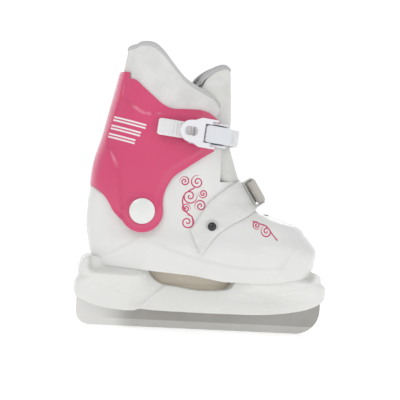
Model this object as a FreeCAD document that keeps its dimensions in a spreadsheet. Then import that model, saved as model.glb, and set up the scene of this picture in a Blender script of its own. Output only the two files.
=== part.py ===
"""Child's hard-shell ice skate: hinged cuff, soft liner, ratchet strap, instep strap and steel runner.

Frame: +X to the toe, +Y to the inner side of the foot, +Z up. The origin is on the runner's flat edge.
All sizes are in millimetres and angles in degrees.
"""
import FreeCAD, Part
import Sketcher
import math
import os
import re
from FreeCAD import Placement, Rotation, Vector

doc = FreeCAD.newDocument("ice_skate")

# ---------------------------------------------------------------- driving dimensions
SIZES = {
    # runner
    "blade_length": 246.3, "blade_height": 34, "blade_thick": 3, "blade_back_overhang": 5,
    "toe_radius": 24, "tail_radius": 13,
    # lugs, bolts and cross nuts that hold the runner
    "lug_width": 16, "lug_top": 43.5, "nut_radius": 4, "nut_length": 10, "nut_height": 38,
    "bolt_radius": 2, "bolt_head_radius": 4, "bolt_head_height": 3,
    "rear_bolt_place": 35, "front_bolt_place": 46,
    # holder
    "rail_half": 7, "rail_top": 42, "rail_bottom": 17, "web_half": 2, "holder_overhang": 2.6,
    "heel_cup_top": 69, "toe_cup_top": 61,
    # lower shell
    "shell_length": 231.2, "heel_back": 120.3, "sole_height": 52, "heel_lift": 9.5,
    "ball_half": 46.4, "ankle_half": 40.2, "shell_wall": 3, "floor_thick": 4,
    "sole_screw_radius": 2, "sole_screw_length": 12, "screw_head_radius": 3.8, "screw_head_height": 1.8,
    # soft liner, footbed and tongue
    "footbed_thick": 3, "liner_foot_wall": 5, "liner_cuff_wall": 6, "tongue_thick": 7,
    "liner_peak": 279.5, "tongue_peak": 264.5, "binding_height": 5, "binding_thick": 0.8,
    # cuff and its pivots
    "cuff_top": 250, "cuff_wall": 2.8, "cuff_gap": 0.7, "pivot_from_heel": 50.3, "pivot_height": 116.6,
    "pivot_radius": 5, "lobe_radius": 20.7, "cap_radius": 12.3, "cap_height": 3.6, "washer_thick": 1,
    "flex_angle": 10,
    # ladder strap and ratchet buckle
    "strap_height": 193.5, "strap_tilt": 5.2, "ladder_width": 16, "ladder_thick": 2.2, "ladder_lift": 2.6,
    "buckle_yaw": 12, "buckle_place": -18, "pin_radius": 1.5, "pin_height": 8.2, "release_pin_place": 20,
    "ear_half": 11.5, "ear_thick": 2, "lever_half": 14, "lever_thick": 2.8, "lever_reach": 33,
    # instep strap and webbing
    "strap_thick": 2.4, "strap_rivet_radius": 2.5, "ring_bar": 1.2, "ring_width": 29, "ring_rise": 10.2,
    "webbing_width": 24, "webbing_thick": 1.6, "patch_thick": 1.1,
    # clearances
    "press_gap": 0.05, "running_gap": 0.06, "seat_gap": 0.3, "moving_gap": 0.4,
}

sheet = doc.addObject("Spreadsheet::Sheet", "Sizes")
for row, (alias, value) in enumerate(SIZES.items(), start=1):
    sheet.set("A%d" % row, alias)
    sheet.set("B%d" % row, str(value))
    sheet.setAlias("B%d" % row, alias)
doc.recompute()


class Sheet:
    """Reads a size from the sheet by its alias, for the shapes that are worked out below."""

    def __getattr__(self, alias):
        return float(sheet.get(alias))


size = Sheet()
HALF_SPAN = 90.0
FAR = 420.0


def formula(text):
    """Expression text with each alias pointed at the sheet."""
    return re.sub(r"[a-z][a-z_]+", lambda word: "Sizes." + word.group() if word.group() in SIZES
                  else word.group(), str(text))


# ---------------------------------------------------------------- helpers for parametric objects
nodes = []


def keep(thing, name):
    """Registers an object as the sub-part with this name."""
    thing.Label = name
    nodes.append(thing)
    return thing


def bind(thing, **values):
    """Binds properties to the sheet; place_x, place_y and place_z bind the position."""
    for name, text in values.items():
        path = "Placement.Base." + name[-1] if name.startswith("place_") else name
        thing.setExpression(path, formula(text))
    return thing


AXES = {"X": Rotation(Vector(0, 1, 0), 90), "Y": Rotation(Vector(1, 0, 0), -90), "Z": Rotation()}


def cylinder(name, axis, radius, height, x, y, z):
    """Cylinder from the point (x, y, z) along +X, +Y or +Z."""
    thing = doc.addObject("Part::Cylinder", name)
    thing.Placement = Placement(Vector(), AXES[axis])
    return bind(thing, Radius=radius, Height=height, place_x=x, place_y=y, place_z=z)


def fuse(name, *things):
    thing = doc.addObject("Part::MultiFuse", name)
    thing.Shapes = list(things)
    thing.Refine = True
    return thing


def group(name, *things):
    """Separate solids of one kind kept together in one node."""
    thing = doc.addObject("Part::Compound", name)
    thing.Links = list(things)
    return thing


def cut(name, base, *tools):
    thing = doc.addObject("Part::Cut", name)
    thing.Base = base
    thing.Tool = tools[0] if len(tools) == 1 else fuse(name + "_tools", *tools)
    return thing


def solid(name, shape, place=None):
    """Object for a free-form shape, placed after its shape is set."""
    thing = doc.addObject("Part::Feature", name)
    thing.Shape = shape
    if place is not None:
        thing.Placement = place
    return thing


def sketch_body(name, role, corners, depth, symmetric=True):
    """PartDesign body: a polygon on an origin plane, each corner bound to the sheet, padded by depth."""
    body = doc.addObject("PartDesign::Body", name)
    drawing = body.newObject("Sketcher::SketchObject", name + "_outline")
    plane = [item for item in body.Origin.OriginFeatures if item.Role == role][0]
    drawing.AttachmentSupport = [(plane, "")]
    drawing.MapMode = "FlatFace"
    doc.recompute()
    add_polygon(drawing, corners)
    pad = body.newObject("PartDesign::Pad", name + "_pad")
    pad.Profile = drawing
    pad.SideType = "Symmetric" if symmetric else "One side"
    pad.setExpression("Length", formula(depth))
    doc.recompute()
    return body


def add_polygon(drawing, corners):
    """Closed polygon whose corners are held by bound distances from the sketch's origin."""
    scratch = [Vector(value_of(x), value_of(y), 0) for x, y in corners]
    count = len(scratch)
    first = drawing.GeometryCount
    for index in range(count):
        drawing.addGeometry(Part.LineSegment(scratch[index], scratch[(index + 1) % count]), False)
    for index in range(count):
        follower = first + (index + 1) % count
        drawing.addConstraint(Sketcher.Constraint("Coincident", first + index, 2, follower, 1))
    for index, (x, y) in enumerate(corners):
        for kind, text, number in (("DistanceX", x, scratch[index].x), ("DistanceY", y, scratch[index].y)):
            place = drawing.addConstraint(Sketcher.Constraint(kind, -1, 1, first + index, 1, number))
            drawing.setExpression("Constraints[%d]" % place, formula(text))


def value_of(text):
    """Number that an expression text has with the present sheet."""
    return float(sheet.evalExpression(formula(text)))


# ---------------------------------------------------------------- free-form helpers
OUTLINE_POINTS = 24
HEEL_POWER = 2.0
CUFF_POWER = 2.4
FRONT_POWER = 2.4


def signed_power(number, power):
    return math.copysign(abs(number) ** power, number)


def outline(height, back, centre, front, half, rear_power=HEEL_POWER):
    """Closed plan outline: a rear and a front half super-ellipse that meet at the widest place."""
    points = []
    for step in range(OUTLINE_POINTS):
        angle = 2 * math.pi * step / OUTLINE_POINTS
        ahead = math.cos(angle) >= 0
        power = FRONT_POWER if ahead else rear_power
        reach = front - centre if ahead else centre - back
        points.append(Vector(centre + reach * signed_power(math.cos(angle), 2 / power),
                             half * signed_power(math.sin(angle), 2 / power), height))
    curve = Part.BSplineCurve()
    curve.interpolate(Points=points, PeriodicFlag=True)
    return Part.Wire(curve.toShape())


def loft(sections, inset=0.0, rear_power=HEEL_POWER):
    """Solid through plan outlines, each (height, back, centre, front, half), drawn in by the inset."""
    wires = [outline(height, back + inset, centre, front - inset, half - inset, rear_power)
             for height, back, centre, front, half in sections]
    return Part.makeLoft(wires, True, False)


def side_prism(points, low=-HALF_SPAN, high=HALF_SPAN):
    """Prism across Y of a closed polygon given as (x, z) points."""
    wire = Part.makePolygon([Vector(x, low, z) for x, z in points + points[:1]])
    return Part.Face(wire).extrude(Vector(0, high - low, 0))


def plan_prism(points, low, high):
    """Prism along Z of a closed polygon given as (x, y) points."""
    wire = Part.makePolygon([Vector(x, y, low) for x, y in points + points[:1]])
    return Part.Face(wire).extrude(Vector(0, 0, high - low))


def rod(start, along, radius, length):
    return Part.makeCylinder(radius, length, Vector(*start), Vector(*along))


def joined(first, *others):
    return first.fuse(list(others)).removeSplitter()


def largest(shape):
    """The biggest solid of a result, without the slivers that a cut can leave."""
    return max(shape.Solids, key=lambda piece: piece.Volume)


# ---------------------------------------------------------------- shared places
HEEL = -size.heel_back
TOE = HEEL + size.shell_length
BALL = size.sole_height
BLADE_BACK = HEEL - size.blade_back_overhang
BLADE_FRONT = BLADE_BACK + size.blade_length
PIVOT = (HEEL + size.pivot_from_heel, size.pivot_height)
LEAN = size.flex_angle + 1.5
SHELL_FRONT_ANGLE = 43.0
SHELL_REAR_ANGLE = 150.0
TONGUE_SPLIT_ANGLE = 29.0


def sole_line(lift=0.0):
    """The sole's side line, from heel to toe, raised by lift."""
    heel_z = BALL + size.heel_lift + lift
    arch_z = BALL + size.heel_lift / 2 + lift
    return [(HEEL - 40, heel_z + 1), (HEEL + 10, heel_z), (HEEL + 104, arch_z), (HEEL + 134, BALL + lift),
            (TOE - 52, BALL + lift), (TOE - 17, BALL + 5 + lift), (TOE + 30, BALL + 22 + lift)]


def above_sole(lift=0.0):
    return side_prism(sole_line(lift) + [(TOE + 30, FAR), (HEEL - 40, FAR)])


def on_ray(angle, reach, centre=PIVOT):
    """Point at a distance from the pivot, at an angle from +X towards +Z."""
    turn = math.radians(angle)
    return centre[0] + reach * math.cos(turn), centre[1] + reach * math.sin(turn)


def ankle_wedge(front_angle, rear_angle, hub):
    """The space above two rays from the pivot, outside a hub round it: what tilts, seen from the side."""
    rays = [on_ray(angle, 300.0) for angle in (front_angle, 90.0, rear_angle)]
    wedge = side_prism([PIVOT] + rays)
    if hub <= 0:
        return wedge
    return wedge.cut(rod((PIVOT[0], -HALF_SPAN, PIVOT[1]), (0, 1, 0), hub, 2 * HALF_SPAN))


# Lower shell, from the sole to the step under the cuff, then the narrower collar inside the cuff.
ANKLE = size.ankle_half
BALL_HALF = size.ball_half
STEP_HEIGHT = PIVOT[1] + 17
LOWER_SECTIONS = [
    (BALL - 4, HEEL + 20, 20, TOE - 12, BALL_HALF - 8),
    (BALL + 8, HEEL + 9.8, 24, TOE - 5, BALL_HALF - 2),
    (BALL + 21, HEEL + 5.5, 24, TOE - 0.5, BALL_HALF - 0.2),
    (BALL + 34, HEEL + 2.3, 20, TOE - 0.4, BALL_HALF),
    (BALL + 46, HEEL + 0.1, 8, TOE - 9.9, BALL_HALF - 3.4),
    (BALL + 56, HEEL, -12, TOE - 19, ANKLE + 0.8),
    (BALL + 64, HEEL + 0.3, -28, TOE - 43, ANKLE),
    (BALL + 73, HEEL + 0.7, -40, TOE - 65, ANKLE),
    (STEP_HEIGHT, HEEL + 1.9, -50, TOE - 72, ANKLE),
]
COLLAR_SETBACK = 0.4
COLLAR_SECTIONS = [(height, HEEL + 9.3, -50, TOE - setback - COLLAR_SETBACK, ANKLE - COLLAR_SETBACK)
                   for height, setback in ((STEP_HEIGHT - 2, 72), (152, 83), (170, 88), (190, 90))]


def foot_solid(inset, floor):
    """The foot's outer form drawn in by an inset, above the sole line raised by floor."""
    lower = loft(LOWER_SECTIONS, inset)
    collar = loft(COLLAR_SECTIONS, inset)
    return lower.fuse(collar).common(above_sole(floor))


CUFF_SECTIONS = [
    (88, HEEL + 4, -48, 24, ANKLE + 3.5), (138, HEEL + 3, -48, 25, ANKLE + 3.5),
    (160, HEEL + 4.8, -48, 26, ANKLE + 3.5), (185, HEEL + 11.5, -48, 26, ANKLE + 3.5),
    (215, HEEL + 18, -48, 26, ANKLE + 3.5), (245, HEEL + 24.5, -48, 26, ANKLE + 3),
    (295, HEEL + 34, -48, 26, ANKLE + 1),
]
TONGUE_SECTIONS = [
    (112, -60, -30, 62, 31), (126, -60, -38, 45.5, 31), (149, -60, -44, 30, 31.5),
    (169, -60, -46, 22.3, 32), (185, -60, -48, 17.6, 33), (215, -60, -48, 16.6, 33),
    (245, -60, -48, 14.6, 33), (285, -60, -48, 12, 33),
]


# ---------------------------------------------------------------- runner, lugs, bolts and cross nuts
BACK_X = "(-heel_back - blade_back_overhang)"
FRONT_X = "(-heel_back - blade_back_overhang + blade_length)"
REAR_BOLT = "(-heel_back + rear_bolt_place)"
FRONT_BOLT = "(-heel_back + shell_length - front_bolt_place)"


def round_corner(body, name, radius, x, z):
    """PartDesign fillet on the edges that run across Y through the corner (x, z)."""
    edges = []
    for number, edge in enumerate(body.Shape.Edges, start=1):
        middle = edge.CenterOfMass
        across = abs(edge.Vertexes[0].X - edge.Vertexes[-1].X) + abs(edge.Vertexes[0].Z - edge.Vertexes[-1].Z)
        if math.hypot(middle.x - value_of(x), middle.z - value_of(z)) < 0.5 and across < 0.01:
            edges.append("Edge%d" % number)
    base = body.Tip
    fillet = body.newObject("PartDesign::Fillet", name)
    fillet.Base = (base, edges)
    fillet.setExpression("Radius", formula(radius))
    doc.recompute()
    return fillet


def pocket_circle(body, name, x, z, radius):
    """Round pocket through a body that was padded across Y."""
    drawing = body.newObject("Sketcher::SketchObject", name + "_circle")
    plane = [item for item in body.Origin.OriginFeatures if item.Role == "XZ_Plane"][0]
    drawing.AttachmentSupport = [(plane, "")]
    drawing.MapMode = "FlatFace"
    centre = Vector(value_of(x), value_of(z), 0)
    drawing.addGeometry(Part.Circle(centre, Vector(0, 0, 1), value_of(radius)), False)
    for kind, text, number in (("DistanceX", x, centre.x), ("DistanceY", z, centre.y)):
        place = drawing.addConstraint(Sketcher.Constraint(kind, -1, 1, 0, 3, number))
        drawing.setExpression("Constraints[%d]" % place, formula(text))
    place = drawing.addConstraint(Sketcher.Constraint("Radius", 0, value_of(radius)))
    drawing.setExpression("Constraints[%d]" % place, formula(radius))
    pocket = body.newObject("PartDesign::Pocket", name)
    pocket.Profile = drawing
    pocket.Type = "ThroughAll"
    pocket.Midplane = True
    doc.recompute()
    return pocket


def runner():
    lug = "lug_width / 2"
    slot = "(bolt_radius + running_gap)"
    corners = [(BACK_X, 0), (FRONT_X, 0), (FRONT_X, "blade_height")]
    for place in (FRONT_BOLT, REAR_BOLT):
        corners += [(place + " + " + lug, "blade_height"), (place + " + " + lug, "lug_top"),
                    (place + " + " + slot, "lug_top"), (place + " + " + slot, "nut_height"),
                    (place + " - " + slot, "nut_height"), (place + " - " + slot, "lug_top"),
                    (place + " - " + lug, "lug_top"), (place + " - " + lug, "blade_height")]
    corners += [(BACK_X + " + 7", "blade_height"), (BACK_X, "blade_height - 8")]
    body = sketch_body("blade_runner", "XZ_Plane", corners, "blade_thick")
    for name, place in (("front_nut_hole", FRONT_BOLT), ("rear_nut_hole", REAR_BOLT)):
        pocket_circle(body, name, place, "nut_height", "nut_radius + running_gap")
    round_corner(body, "toe_round", "toe_radius", FRONT_X, 0)
    round_corner(body, "tail_round", "tail_radius", BACK_X, 0)
    return keep(body, "blade_runner")


BOLT_SEAT = "(sole_height - bolt_head_height - 2.5)"
BOLT_END = "(nut_height - nut_radius + 1)"


def bolts_and_nuts():
    bolts = []
    nuts = []
    for name, place in (("front", FRONT_BOLT), ("rear", REAR_BOLT)):
        shank = cylinder(name + "_shank", "Z", "bolt_radius", BOLT_SEAT + " - " + BOLT_END,
                         place, 0, BOLT_END)
        head = cylinder(name + "_head", "Z", "bolt_head_radius", "bolt_head_height", place, 0, BOLT_SEAT)
        bolts.append(fuse(name + "_bolt", shank, head))
        barrel = cylinder(name + "_barrel", "Y", "nut_radius", "nut_length", place, "-nut_length / 2",
                          "nut_height")
        thread = cylinder(name + "_thread", "Z", "bolt_radius + press_gap", "4 * nut_radius", place, 0,
                          "nut_height - 2 * nut_radius")
        nuts.append(cut(name + "_nut", barrel, thread))
    keep(group("bolts", *bolts), "blade_bolts")
    keep(group("nuts", *nuts), "barrel_nuts")


# ---------------------------------------------------------------- holder
SCREW_PLACES = [(HEEL + 22, 11), (HEEL + 58, 15), (TOE - 72, 22), (TOE - 26, 17)]


def sole_at(x, lift=0.0):
    """Height of the sole line at x."""
    points = sole_line(lift)
    for (x0, z0), (x1, z1) in zip(points, points[1:]):
        if x0 <= x <= x1:
            return z0 + (z1 - z0) * (x - x0) / (x1 - x0)
    return points[-1][1]


def holder():
    back = BLADE_BACK - size.holder_overhang
    front = BLADE_FRONT + size.holder_overhang
    bottom = size.rail_bottom
    rail = side_prism([
        (back, bottom + 14.5), (back + 2.6, bottom + 10.5), (back + 17, bottom + 4.3), (back + 38, bottom + 0.8),
        (back + 54, bottom), (front - 68, bottom + 0.3), (front - 46, bottom + 3), (front - 24, bottom + 7.3),
        (front - 10, bottom + 12.3), (front - 2, bottom + 18), (front, bottom + 23.5), (front - 2, bottom + 28),
        (front - 14, bottom + 36), (front - 98, size.rail_top + 3), (back + 92, size.rail_top + 1.5),
        (back + 67, BALL + 3), (back + 4, BALL + 3), (back + 0.5, bottom + 22)],
        -size.rail_half, size.rail_half)
    web = side_prism([(back + 60, size.rail_top - 2), (front - 90, size.rail_top - 2), (front - 90, BALL + 12),
                      (back + 60, BALL + 12)], -size.web_half, size.web_half)
    heel_tower = loft([
        (size.rail_top - 6, back + 6, -85, back + 88, 7.5), (size.rail_top + 4, back + 3, -85, back + 78, 13),
        (BALL + 2, back + 2.4, -85, back + 73, 25), (BALL + 10, back + 3.5, -85, back + 76, 30.5),
        (size.heel_cup_top, back + 13, -85, back + 60, 31)], 0, CUFF_POWER)
    toe_tower = loft([
        (size.rail_top - 6, front - 96, 70, front - 5, 7.5), (size.rail_top + 2, front - 103, 70, front - 7, 16),
        (BALL - 3, front - 112, 70, front - 10, 33), (size.toe_cup_top, front - 120, 70, front - 12.5, 36)],
        0, CUFF_POWER)
    foot = foot_solid(-size.press_gap, -size.press_gap)
    pieces = [piece.cut(foot) for piece in (rail, web, heel_tower, toe_tower)]
    slot_half = size.blade_thick / 2 + size.press_gap
    slot = side_prism([(BLADE_BACK - size.seat_gap, 0), (BLADE_FRONT + size.seat_gap, 0),
                       (BLADE_FRONT + size.seat_gap, size.blade_height + size.seat_gap),
                       (BLADE_BACK - size.seat_gap, size.blade_height + size.seat_gap)], -slot_half, slot_half)
    tools = [slot]
    head_seat = value_of(BOLT_SEAT)
    for x in (value_of(REAR_BOLT), value_of(FRONT_BOLT)):
        half = size.lug_width / 2 + size.seat_gap
        low = size.blade_height - 2
        tools.append(side_prism([(x - half, low), (x + half, low), (x + half, size.lug_top + size.seat_gap),
                                 (x - half, size.lug_top + size.seat_gap)], -slot_half, slot_half))
        tools.append(rod((x, -size.nut_length / 2, size.nut_height), (0, 1, 0),
                         size.nut_radius + size.running_gap, HALF_SPAN))
        tools.append(rod((x, 0, low), (0, 0, 1), size.bolt_radius + size.running_gap, 30))
        tools.append(rod((x, 0, head_seat), (0, 0, 1), size.bolt_head_radius + size.seat_gap, 30))
    for x, y in SCREW_PLACES:
        for side in (-1, 1):
            seat = sole_at(x, size.floor_thick) - size.screw_head_height
            tools.append(rod((x, side * y, seat), (0, 0, -1), size.sole_screw_radius + size.press_gap,
                             size.sole_screw_length + 1))
    body = pieces[0].fuse(pieces[1:]).cut(tools)
    return keep(solid("holder", largest(body)), "blade_holder")


def sole_screws():
    screws = []
    for number, (x, y) in enumerate(SCREW_PLACES):
        for side in (-1, 1):
            tag = "screw_%d_%s" % (number, "outer" if side < 0 else "inner")
            top = sole_at(x, size.floor_thick) - size.screw_head_height
            shank = Part.makeCylinder(size.sole_screw_radius, size.sole_screw_length,
                                      Vector(x, side * y, top), Vector(0, 0, -1))
            head = Part.makeCylinder(size.screw_head_radius, size.screw_head_height, Vector(x, side * y, top))
            screws.append(solid(tag, joined(shank, head)))
    return keep(group("screws", *screws), "sole_screws")


# ---------------------------------------------------------------- lower shell, footbed and liner
THROAT = [(5, 143), (80, 143), (80, FAR), (5, FAR)]
SLOT_HALF = 19.0
BOSS_RADIUS = 12.0
BOSS_FACE = ANKLE - 2.6
CUFF_BOSS_RADIUS = 10.0


def pivot_rods(radius, low, high):
    """Two rods on the pivots' axis, outer and inner side, between two distances from the middle."""
    return [rod((PIVOT[0], side * low, PIVOT[1]), (0, side, 0), radius, high - low) for side in (-1, 1)]


def boot_shell():
    outer = foot_solid(0, 0)
    inner = foot_solid(size.shell_wall, size.floor_thick)
    wedge = ankle_wedge(SHELL_FRONT_ANGLE, SHELL_REAR_ANGLE, 35.5)
    slot = plan_prism([(5, -SLOT_HALF), (TOE - 55, -SLOT_HALF), (TOE - 50, 0), (TOE - 55, SLOT_HALF),
                       (5, SLOT_HALF)], 112, FAR)
    shell = outer.cut([inner, wedge, side_prism(THROAT), slot])
    shell = largest(shell)
    inside_cuff = loft(CUFF_SECTIONS, size.cuff_wall + size.cuff_gap, CUFF_POWER)
    bosses = [boss.common(inside_cuff) for boss in pivot_rods(BOSS_RADIUS, PIN_INSIDE, BOSS_FACE)]
    shell = joined(shell, *bosses)
    x, z = PIVOT
    under_cuff = side_prism([(x - 54, z + 21.5), (x - 44, z + 18), (x - 34, z + 8.6), (x - 30, z + 5),
                             (x - 20, z + 12), (x - 20, z + 24), (x - 54, z + 24)])
    for share in (0.0, 0.5, 1.0):
        tilted = inside_cuff.copy()
        tilted.rotate(Vector(x, 0, z), Vector(0, 1, 0), share * size.flex_angle)
        shell = shell.cut(under_cuff.cut(tilted))
    tools = pivot_rods(size.pivot_radius + size.running_gap, 20, HALF_SPAN)
    tools += pivot_rods(size.pivot_radius + 4 + size.seat_gap, 20, PIN_INSIDE)
    tools += pivot_rods(CUFF_BOSS_RADIUS + size.moving_gap, BOSS_FACE, HALF_SPAN)
    for x, y in SCREW_PLACES:
        for side in (-1, 1):
            top = sole_at(x, size.floor_thick) - size.screw_head_height
            tools.append(rod((x, side * y, top), (0, 0, -1), size.sole_screw_radius + size.press_gap, 14))
            tools.append(rod((x, side * y, top), (0, 0, 1), size.screw_head_radius + size.press_gap, 14))
    for side in (-1, 1):
        tools.append(rod((STRAP_RIVET[0], side * 20, STRAP_RIVET[1]), (0, side, 0),
                         size.strap_rivet_radius + size.press_gap, 60))
    return keep(solid("shell", largest(shell.cut(tools))), "boot_shell")


STRAP_RIVET = (HEEL + 119.1, BALL + 53.4)
PIN_INSIDE = ANKLE - size.shell_wall - 2.0
RIVET_SURFACE = ANKLE + 0.9
RIVET_INSIDE = RIVET_SURFACE - size.shell_wall - 1.9


def footbed():
    gap = size.shell_wall + size.seat_gap
    floor = size.floor_thick
    plate = foot_solid(gap, floor).cut(above_sole(floor + size.footbed_thick))
    room = size.seat_gap
    for x, y in SCREW_PLACES:
        for side in (-1, 1):
            head = Vector(x, side * y, sole_at(x, floor) - size.screw_head_height)
            plate = plate.cut(Part.makeCylinder(size.screw_head_radius + room, size.screw_head_height + room, head))
    return keep(solid("insole", largest(plate)), "footbed")


def liner_foot():
    gap = size.shell_wall + size.seat_gap
    floor = size.floor_thick + size.footbed_thick
    outer = foot_solid(gap, floor)
    inner = foot_solid(gap + size.liner_foot_wall, floor + 4)
    wedge = ankle_wedge(SHELL_FRONT_ANGLE, SHELL_REAR_ANGLE, 35.0)
    throat = side_prism([(2, 137), (80, 137), (80, FAR), (2, FAR)])
    slot = plan_prism([(2, -SLOT_HALF), (TOE - 55, -SLOT_HALF), (TOE - 55, SLOT_HALF), (2, SLOT_HALF)], 108, FAR)
    tools = [inner, wedge, throat, slot]
    tools += pivot_rods(BOSS_RADIUS + size.seat_gap, PIN_INSIDE - 2 * size.washer_thick - 0.2, HALF_SPAN)
    tools += [rod((STRAP_RIVET[0], side * RIVET_INSIDE, STRAP_RIVET[1]), (0, side, 0), 6.5, 30)
              for side in (-1, 1)]
    return keep(solid("liner_low", largest(outer.cut(tools))), "liner_foot")


# ---------------------------------------------------------------- cuff, its liner and the tongue
def spline(points):
    """Edge through points in the side plane: a line for two points, else a smooth curve."""
    knots = [Vector(x, -HALF_SPAN, z) for x, z in points]
    if len(knots) == 2:
        return Part.LineSegment(*knots).toShape()
    curve = Part.BSplineCurve()
    curve.interpolate(knots)
    return curve.toShape()


def cuff_side():
    """The cuff's side form: lower edge with a round lobe at the pivot, front edge, swept top and rear tab."""
    x, z = PIVOT
    lobe = size.lobe_radius
    top = size.cuff_top
    lobe_start = on_ray(212.0, lobe)
    lobe_low = on_ray(280.0, lobe)
    lobe_end = on_ray(356.0, lobe)
    rear = [(x - 54, z + 22.5), (x - 44, z + 19), (x - 34, z + 9.6), (x - 26.5, z - 2.5), lobe_start]
    front = [lobe_end, (x + 20.2, z + 16.2), (x + 27.5, z + 33), (x + 40.2, z + 43.4), (x + 53, z + 52.4),
             (x + 67, z + 61.5)]
    nose = [front[-1], (x + 73, z + 78), (x + 71.6, top - 44), (x + 61.4, top - 35.6), (x + 50.8, top - 32.7)]
    crest = [nose[-1], (x + 36, top - 32.9), (x + 23.6, top - 33.3), (x + 14, top - 29.6), (x + 4.2, top - 22),
             (x - 5.2, top - 14), (x - 12.6, top - 7.6), (x - 17.5, top - 6.6)]
    edges = [spline(rear), Part.Arc(*[Vector(a, -HALF_SPAN, b) for a, b in (lobe_start, lobe_low, lobe_end)])
             .toShape(), spline(front), spline(nose), spline(crest),
             spline([crest[-1], (x - 18.5, top)]), spline([(x - 18.5, top), (x - 54, top + 0.6)]),
             spline([(x - 54, top + 0.6), rear[0]])]
    return Part.Face(Part.Wire(edges)).extrude(Vector(0, 2 * HALF_SPAN, 0))


CUFF_SEAT = ANKLE + 4.0


def cuff_shell():
    outer = loft(CUFF_SECTIONS, 0, CUFF_POWER)
    inner = loft(CUFF_SECTIONS, size.cuff_wall, CUFF_POWER)
    wall = largest(outer.cut(inner).common(cuff_side()))
    bosses = pivot_rods(CUFF_BOSS_RADIUS, BOSS_FACE + size.seat_gap, ANKLE + 2)
    bosses += pivot_rods(size.cap_radius + 0.7, ANKLE + 1, CUFF_SEAT)
    tools = pivot_rods(size.pivot_radius + size.running_gap, 20, HALF_SPAN)
    tools += [placed(hole, BUCKLE) for hole in buckle_rivet_shapes(size.press_gap)]
    tools.append(placed(ladder_rivet_shank(size.press_gap), STRAP))
    return keep(solid("cuff", largest(joined(wall, *bosses).cut(tools))), "cuff_shell")


def liner_top(drop=0.0):
    """Side prism under the liner's swept top line, lowered by drop."""
    peak = size.liner_peak - drop
    return side_prism([(HEEL - 20, peak - 9), (HEEL + 31, peak - 2.5), (HEEL + 36, peak), (HEEL + 50, peak - 1.2),
                       (HEEL + 62, peak - 9), (HEEL + 73, peak - 20), (HEEL + 85, peak - 32.5),
                       (HEEL + 98, peak - 40), (HEEL + 116, peak - 48.5), (HEEL + 122, peak - 56),
                       (HEEL + 123, 90), (HEEL - 20, 90)])


LINER_SECTIONS = [
    (100, HEEL + 11, -50, 22, ANKLE - 3.6), (150, HEEL + 11, -50, 22.4, ANKLE - 3.6),
    (172, HEEL + 12.5, -48, 22.6, ANKLE - 3.3), (190, HEEL + 16, -48, 22.8, ANKLE + 0.3),
    (215, HEEL + 21.1, -48, 22.8, ANKLE + 0.4), (245, HEEL + 27.6, -48, 22.8, ANKLE - 0.1),
    (265, HEEL + 30.4, -48, 22.8, ANKLE - 0.6), (300, HEEL + 33, -48, 22.8, ANKLE - 2),
]


def tilting_zone(front_angle):
    """What the cuff carries of the soft parts: clear of the boot's share over the whole tilt."""
    return ankle_wedge(front_angle + LEAN, SHELL_REAR_ANGLE - 0.5, 36.0)


def liner_cuff():
    wall = size.liner_cuff_wall
    body = loft(LINER_SECTIONS, 0, CUFF_POWER).cut(loft(LINER_SECTIONS, wall, CUFF_POWER))
    body = body.common(tilting_zone(SHELL_FRONT_ANGLE))
    body = body.common(liner_top(size.binding_height + size.press_gap))
    body = body.common(loft(CUFF_SECTIONS, size.cuff_wall + size.seat_gap, CUFF_POWER))
    tools = [placed(ladder_rivet_head_room(), STRAP)]
    tools += [placed(hole, BUCKLE) for hole in buckle_rivet_shapes(size.seat_gap)]
    tools += pivot_rods(BOSS_RADIUS, PIN_INSIDE - 2 * size.washer_thick - 0.6, HALF_SPAN)
    return keep(solid("liner_high", largest(body.cut(tools))), "liner_cuff")


def liner_binding():
    thick = size.binding_thick
    wall = size.liner_cuff_wall
    around = loft(LINER_SECTIONS, -thick, CUFF_POWER).cut(loft(LINER_SECTIONS, wall + thick, CUFF_POWER))
    body = around.common(liner_top().cut(liner_top(size.binding_height)))
    body = body.common(side_prism([(HEEL - 20, 200), (HEEL + 122, 200), (HEEL + 122, FAR), (HEEL - 20, FAR)]))
    body = body.cut(loft(TONGUE_SECTIONS, -size.press_gap))
    return keep(solid("liner_edge", largest(body)), "liner_binding")


def tongue_top(drop=0.0):
    peak = size.tongue_peak - drop
    return side_prism([(-26, 100), (-26, peak - 28), (-22, peak - 24.5), (-17, peak - 15), (-7, peak - 6.5),
                       (3, peak - 1.6), (9, peak), (13, peak - 2.5), (40, peak - 3), (90, 100)])


def tongue_band(inset=0.0):
    """The tongue's curved sheet, thinned all round by an inset."""
    return loft(TONGUE_SECTIONS, inset).cut(loft(TONGUE_SECTIONS, size.tongue_thick - inset))


def tongue_upper():
    body = tongue_band().common(ankle_wedge(TONGUE_SPLIT_ANGLE + LEAN, 175, 0)).common(tongue_top())
    front_cut = side_prism([(-26, 100), (-6, 100), (4, 186), (-12, 215), (-26, 225)])
    return keep(solid("tongue_high", largest(body.cut(front_cut))), "tongue_upper")


def tongue_binding():
    thick = size.binding_thick
    strip = tongue_top(-thick).cut(tongue_top(size.binding_height))
    gap = size.press_gap
    body = tongue_band(-thick).common(strip).cut(tongue_band(-gap).common(tongue_top(-gap)))
    body = body.common(side_prism([(-23, 230), (60, 230), (60, FAR), (-23, FAR)]))
    return keep(solid("tongue_edge", largest(body)), "tongue_binding")


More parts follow.
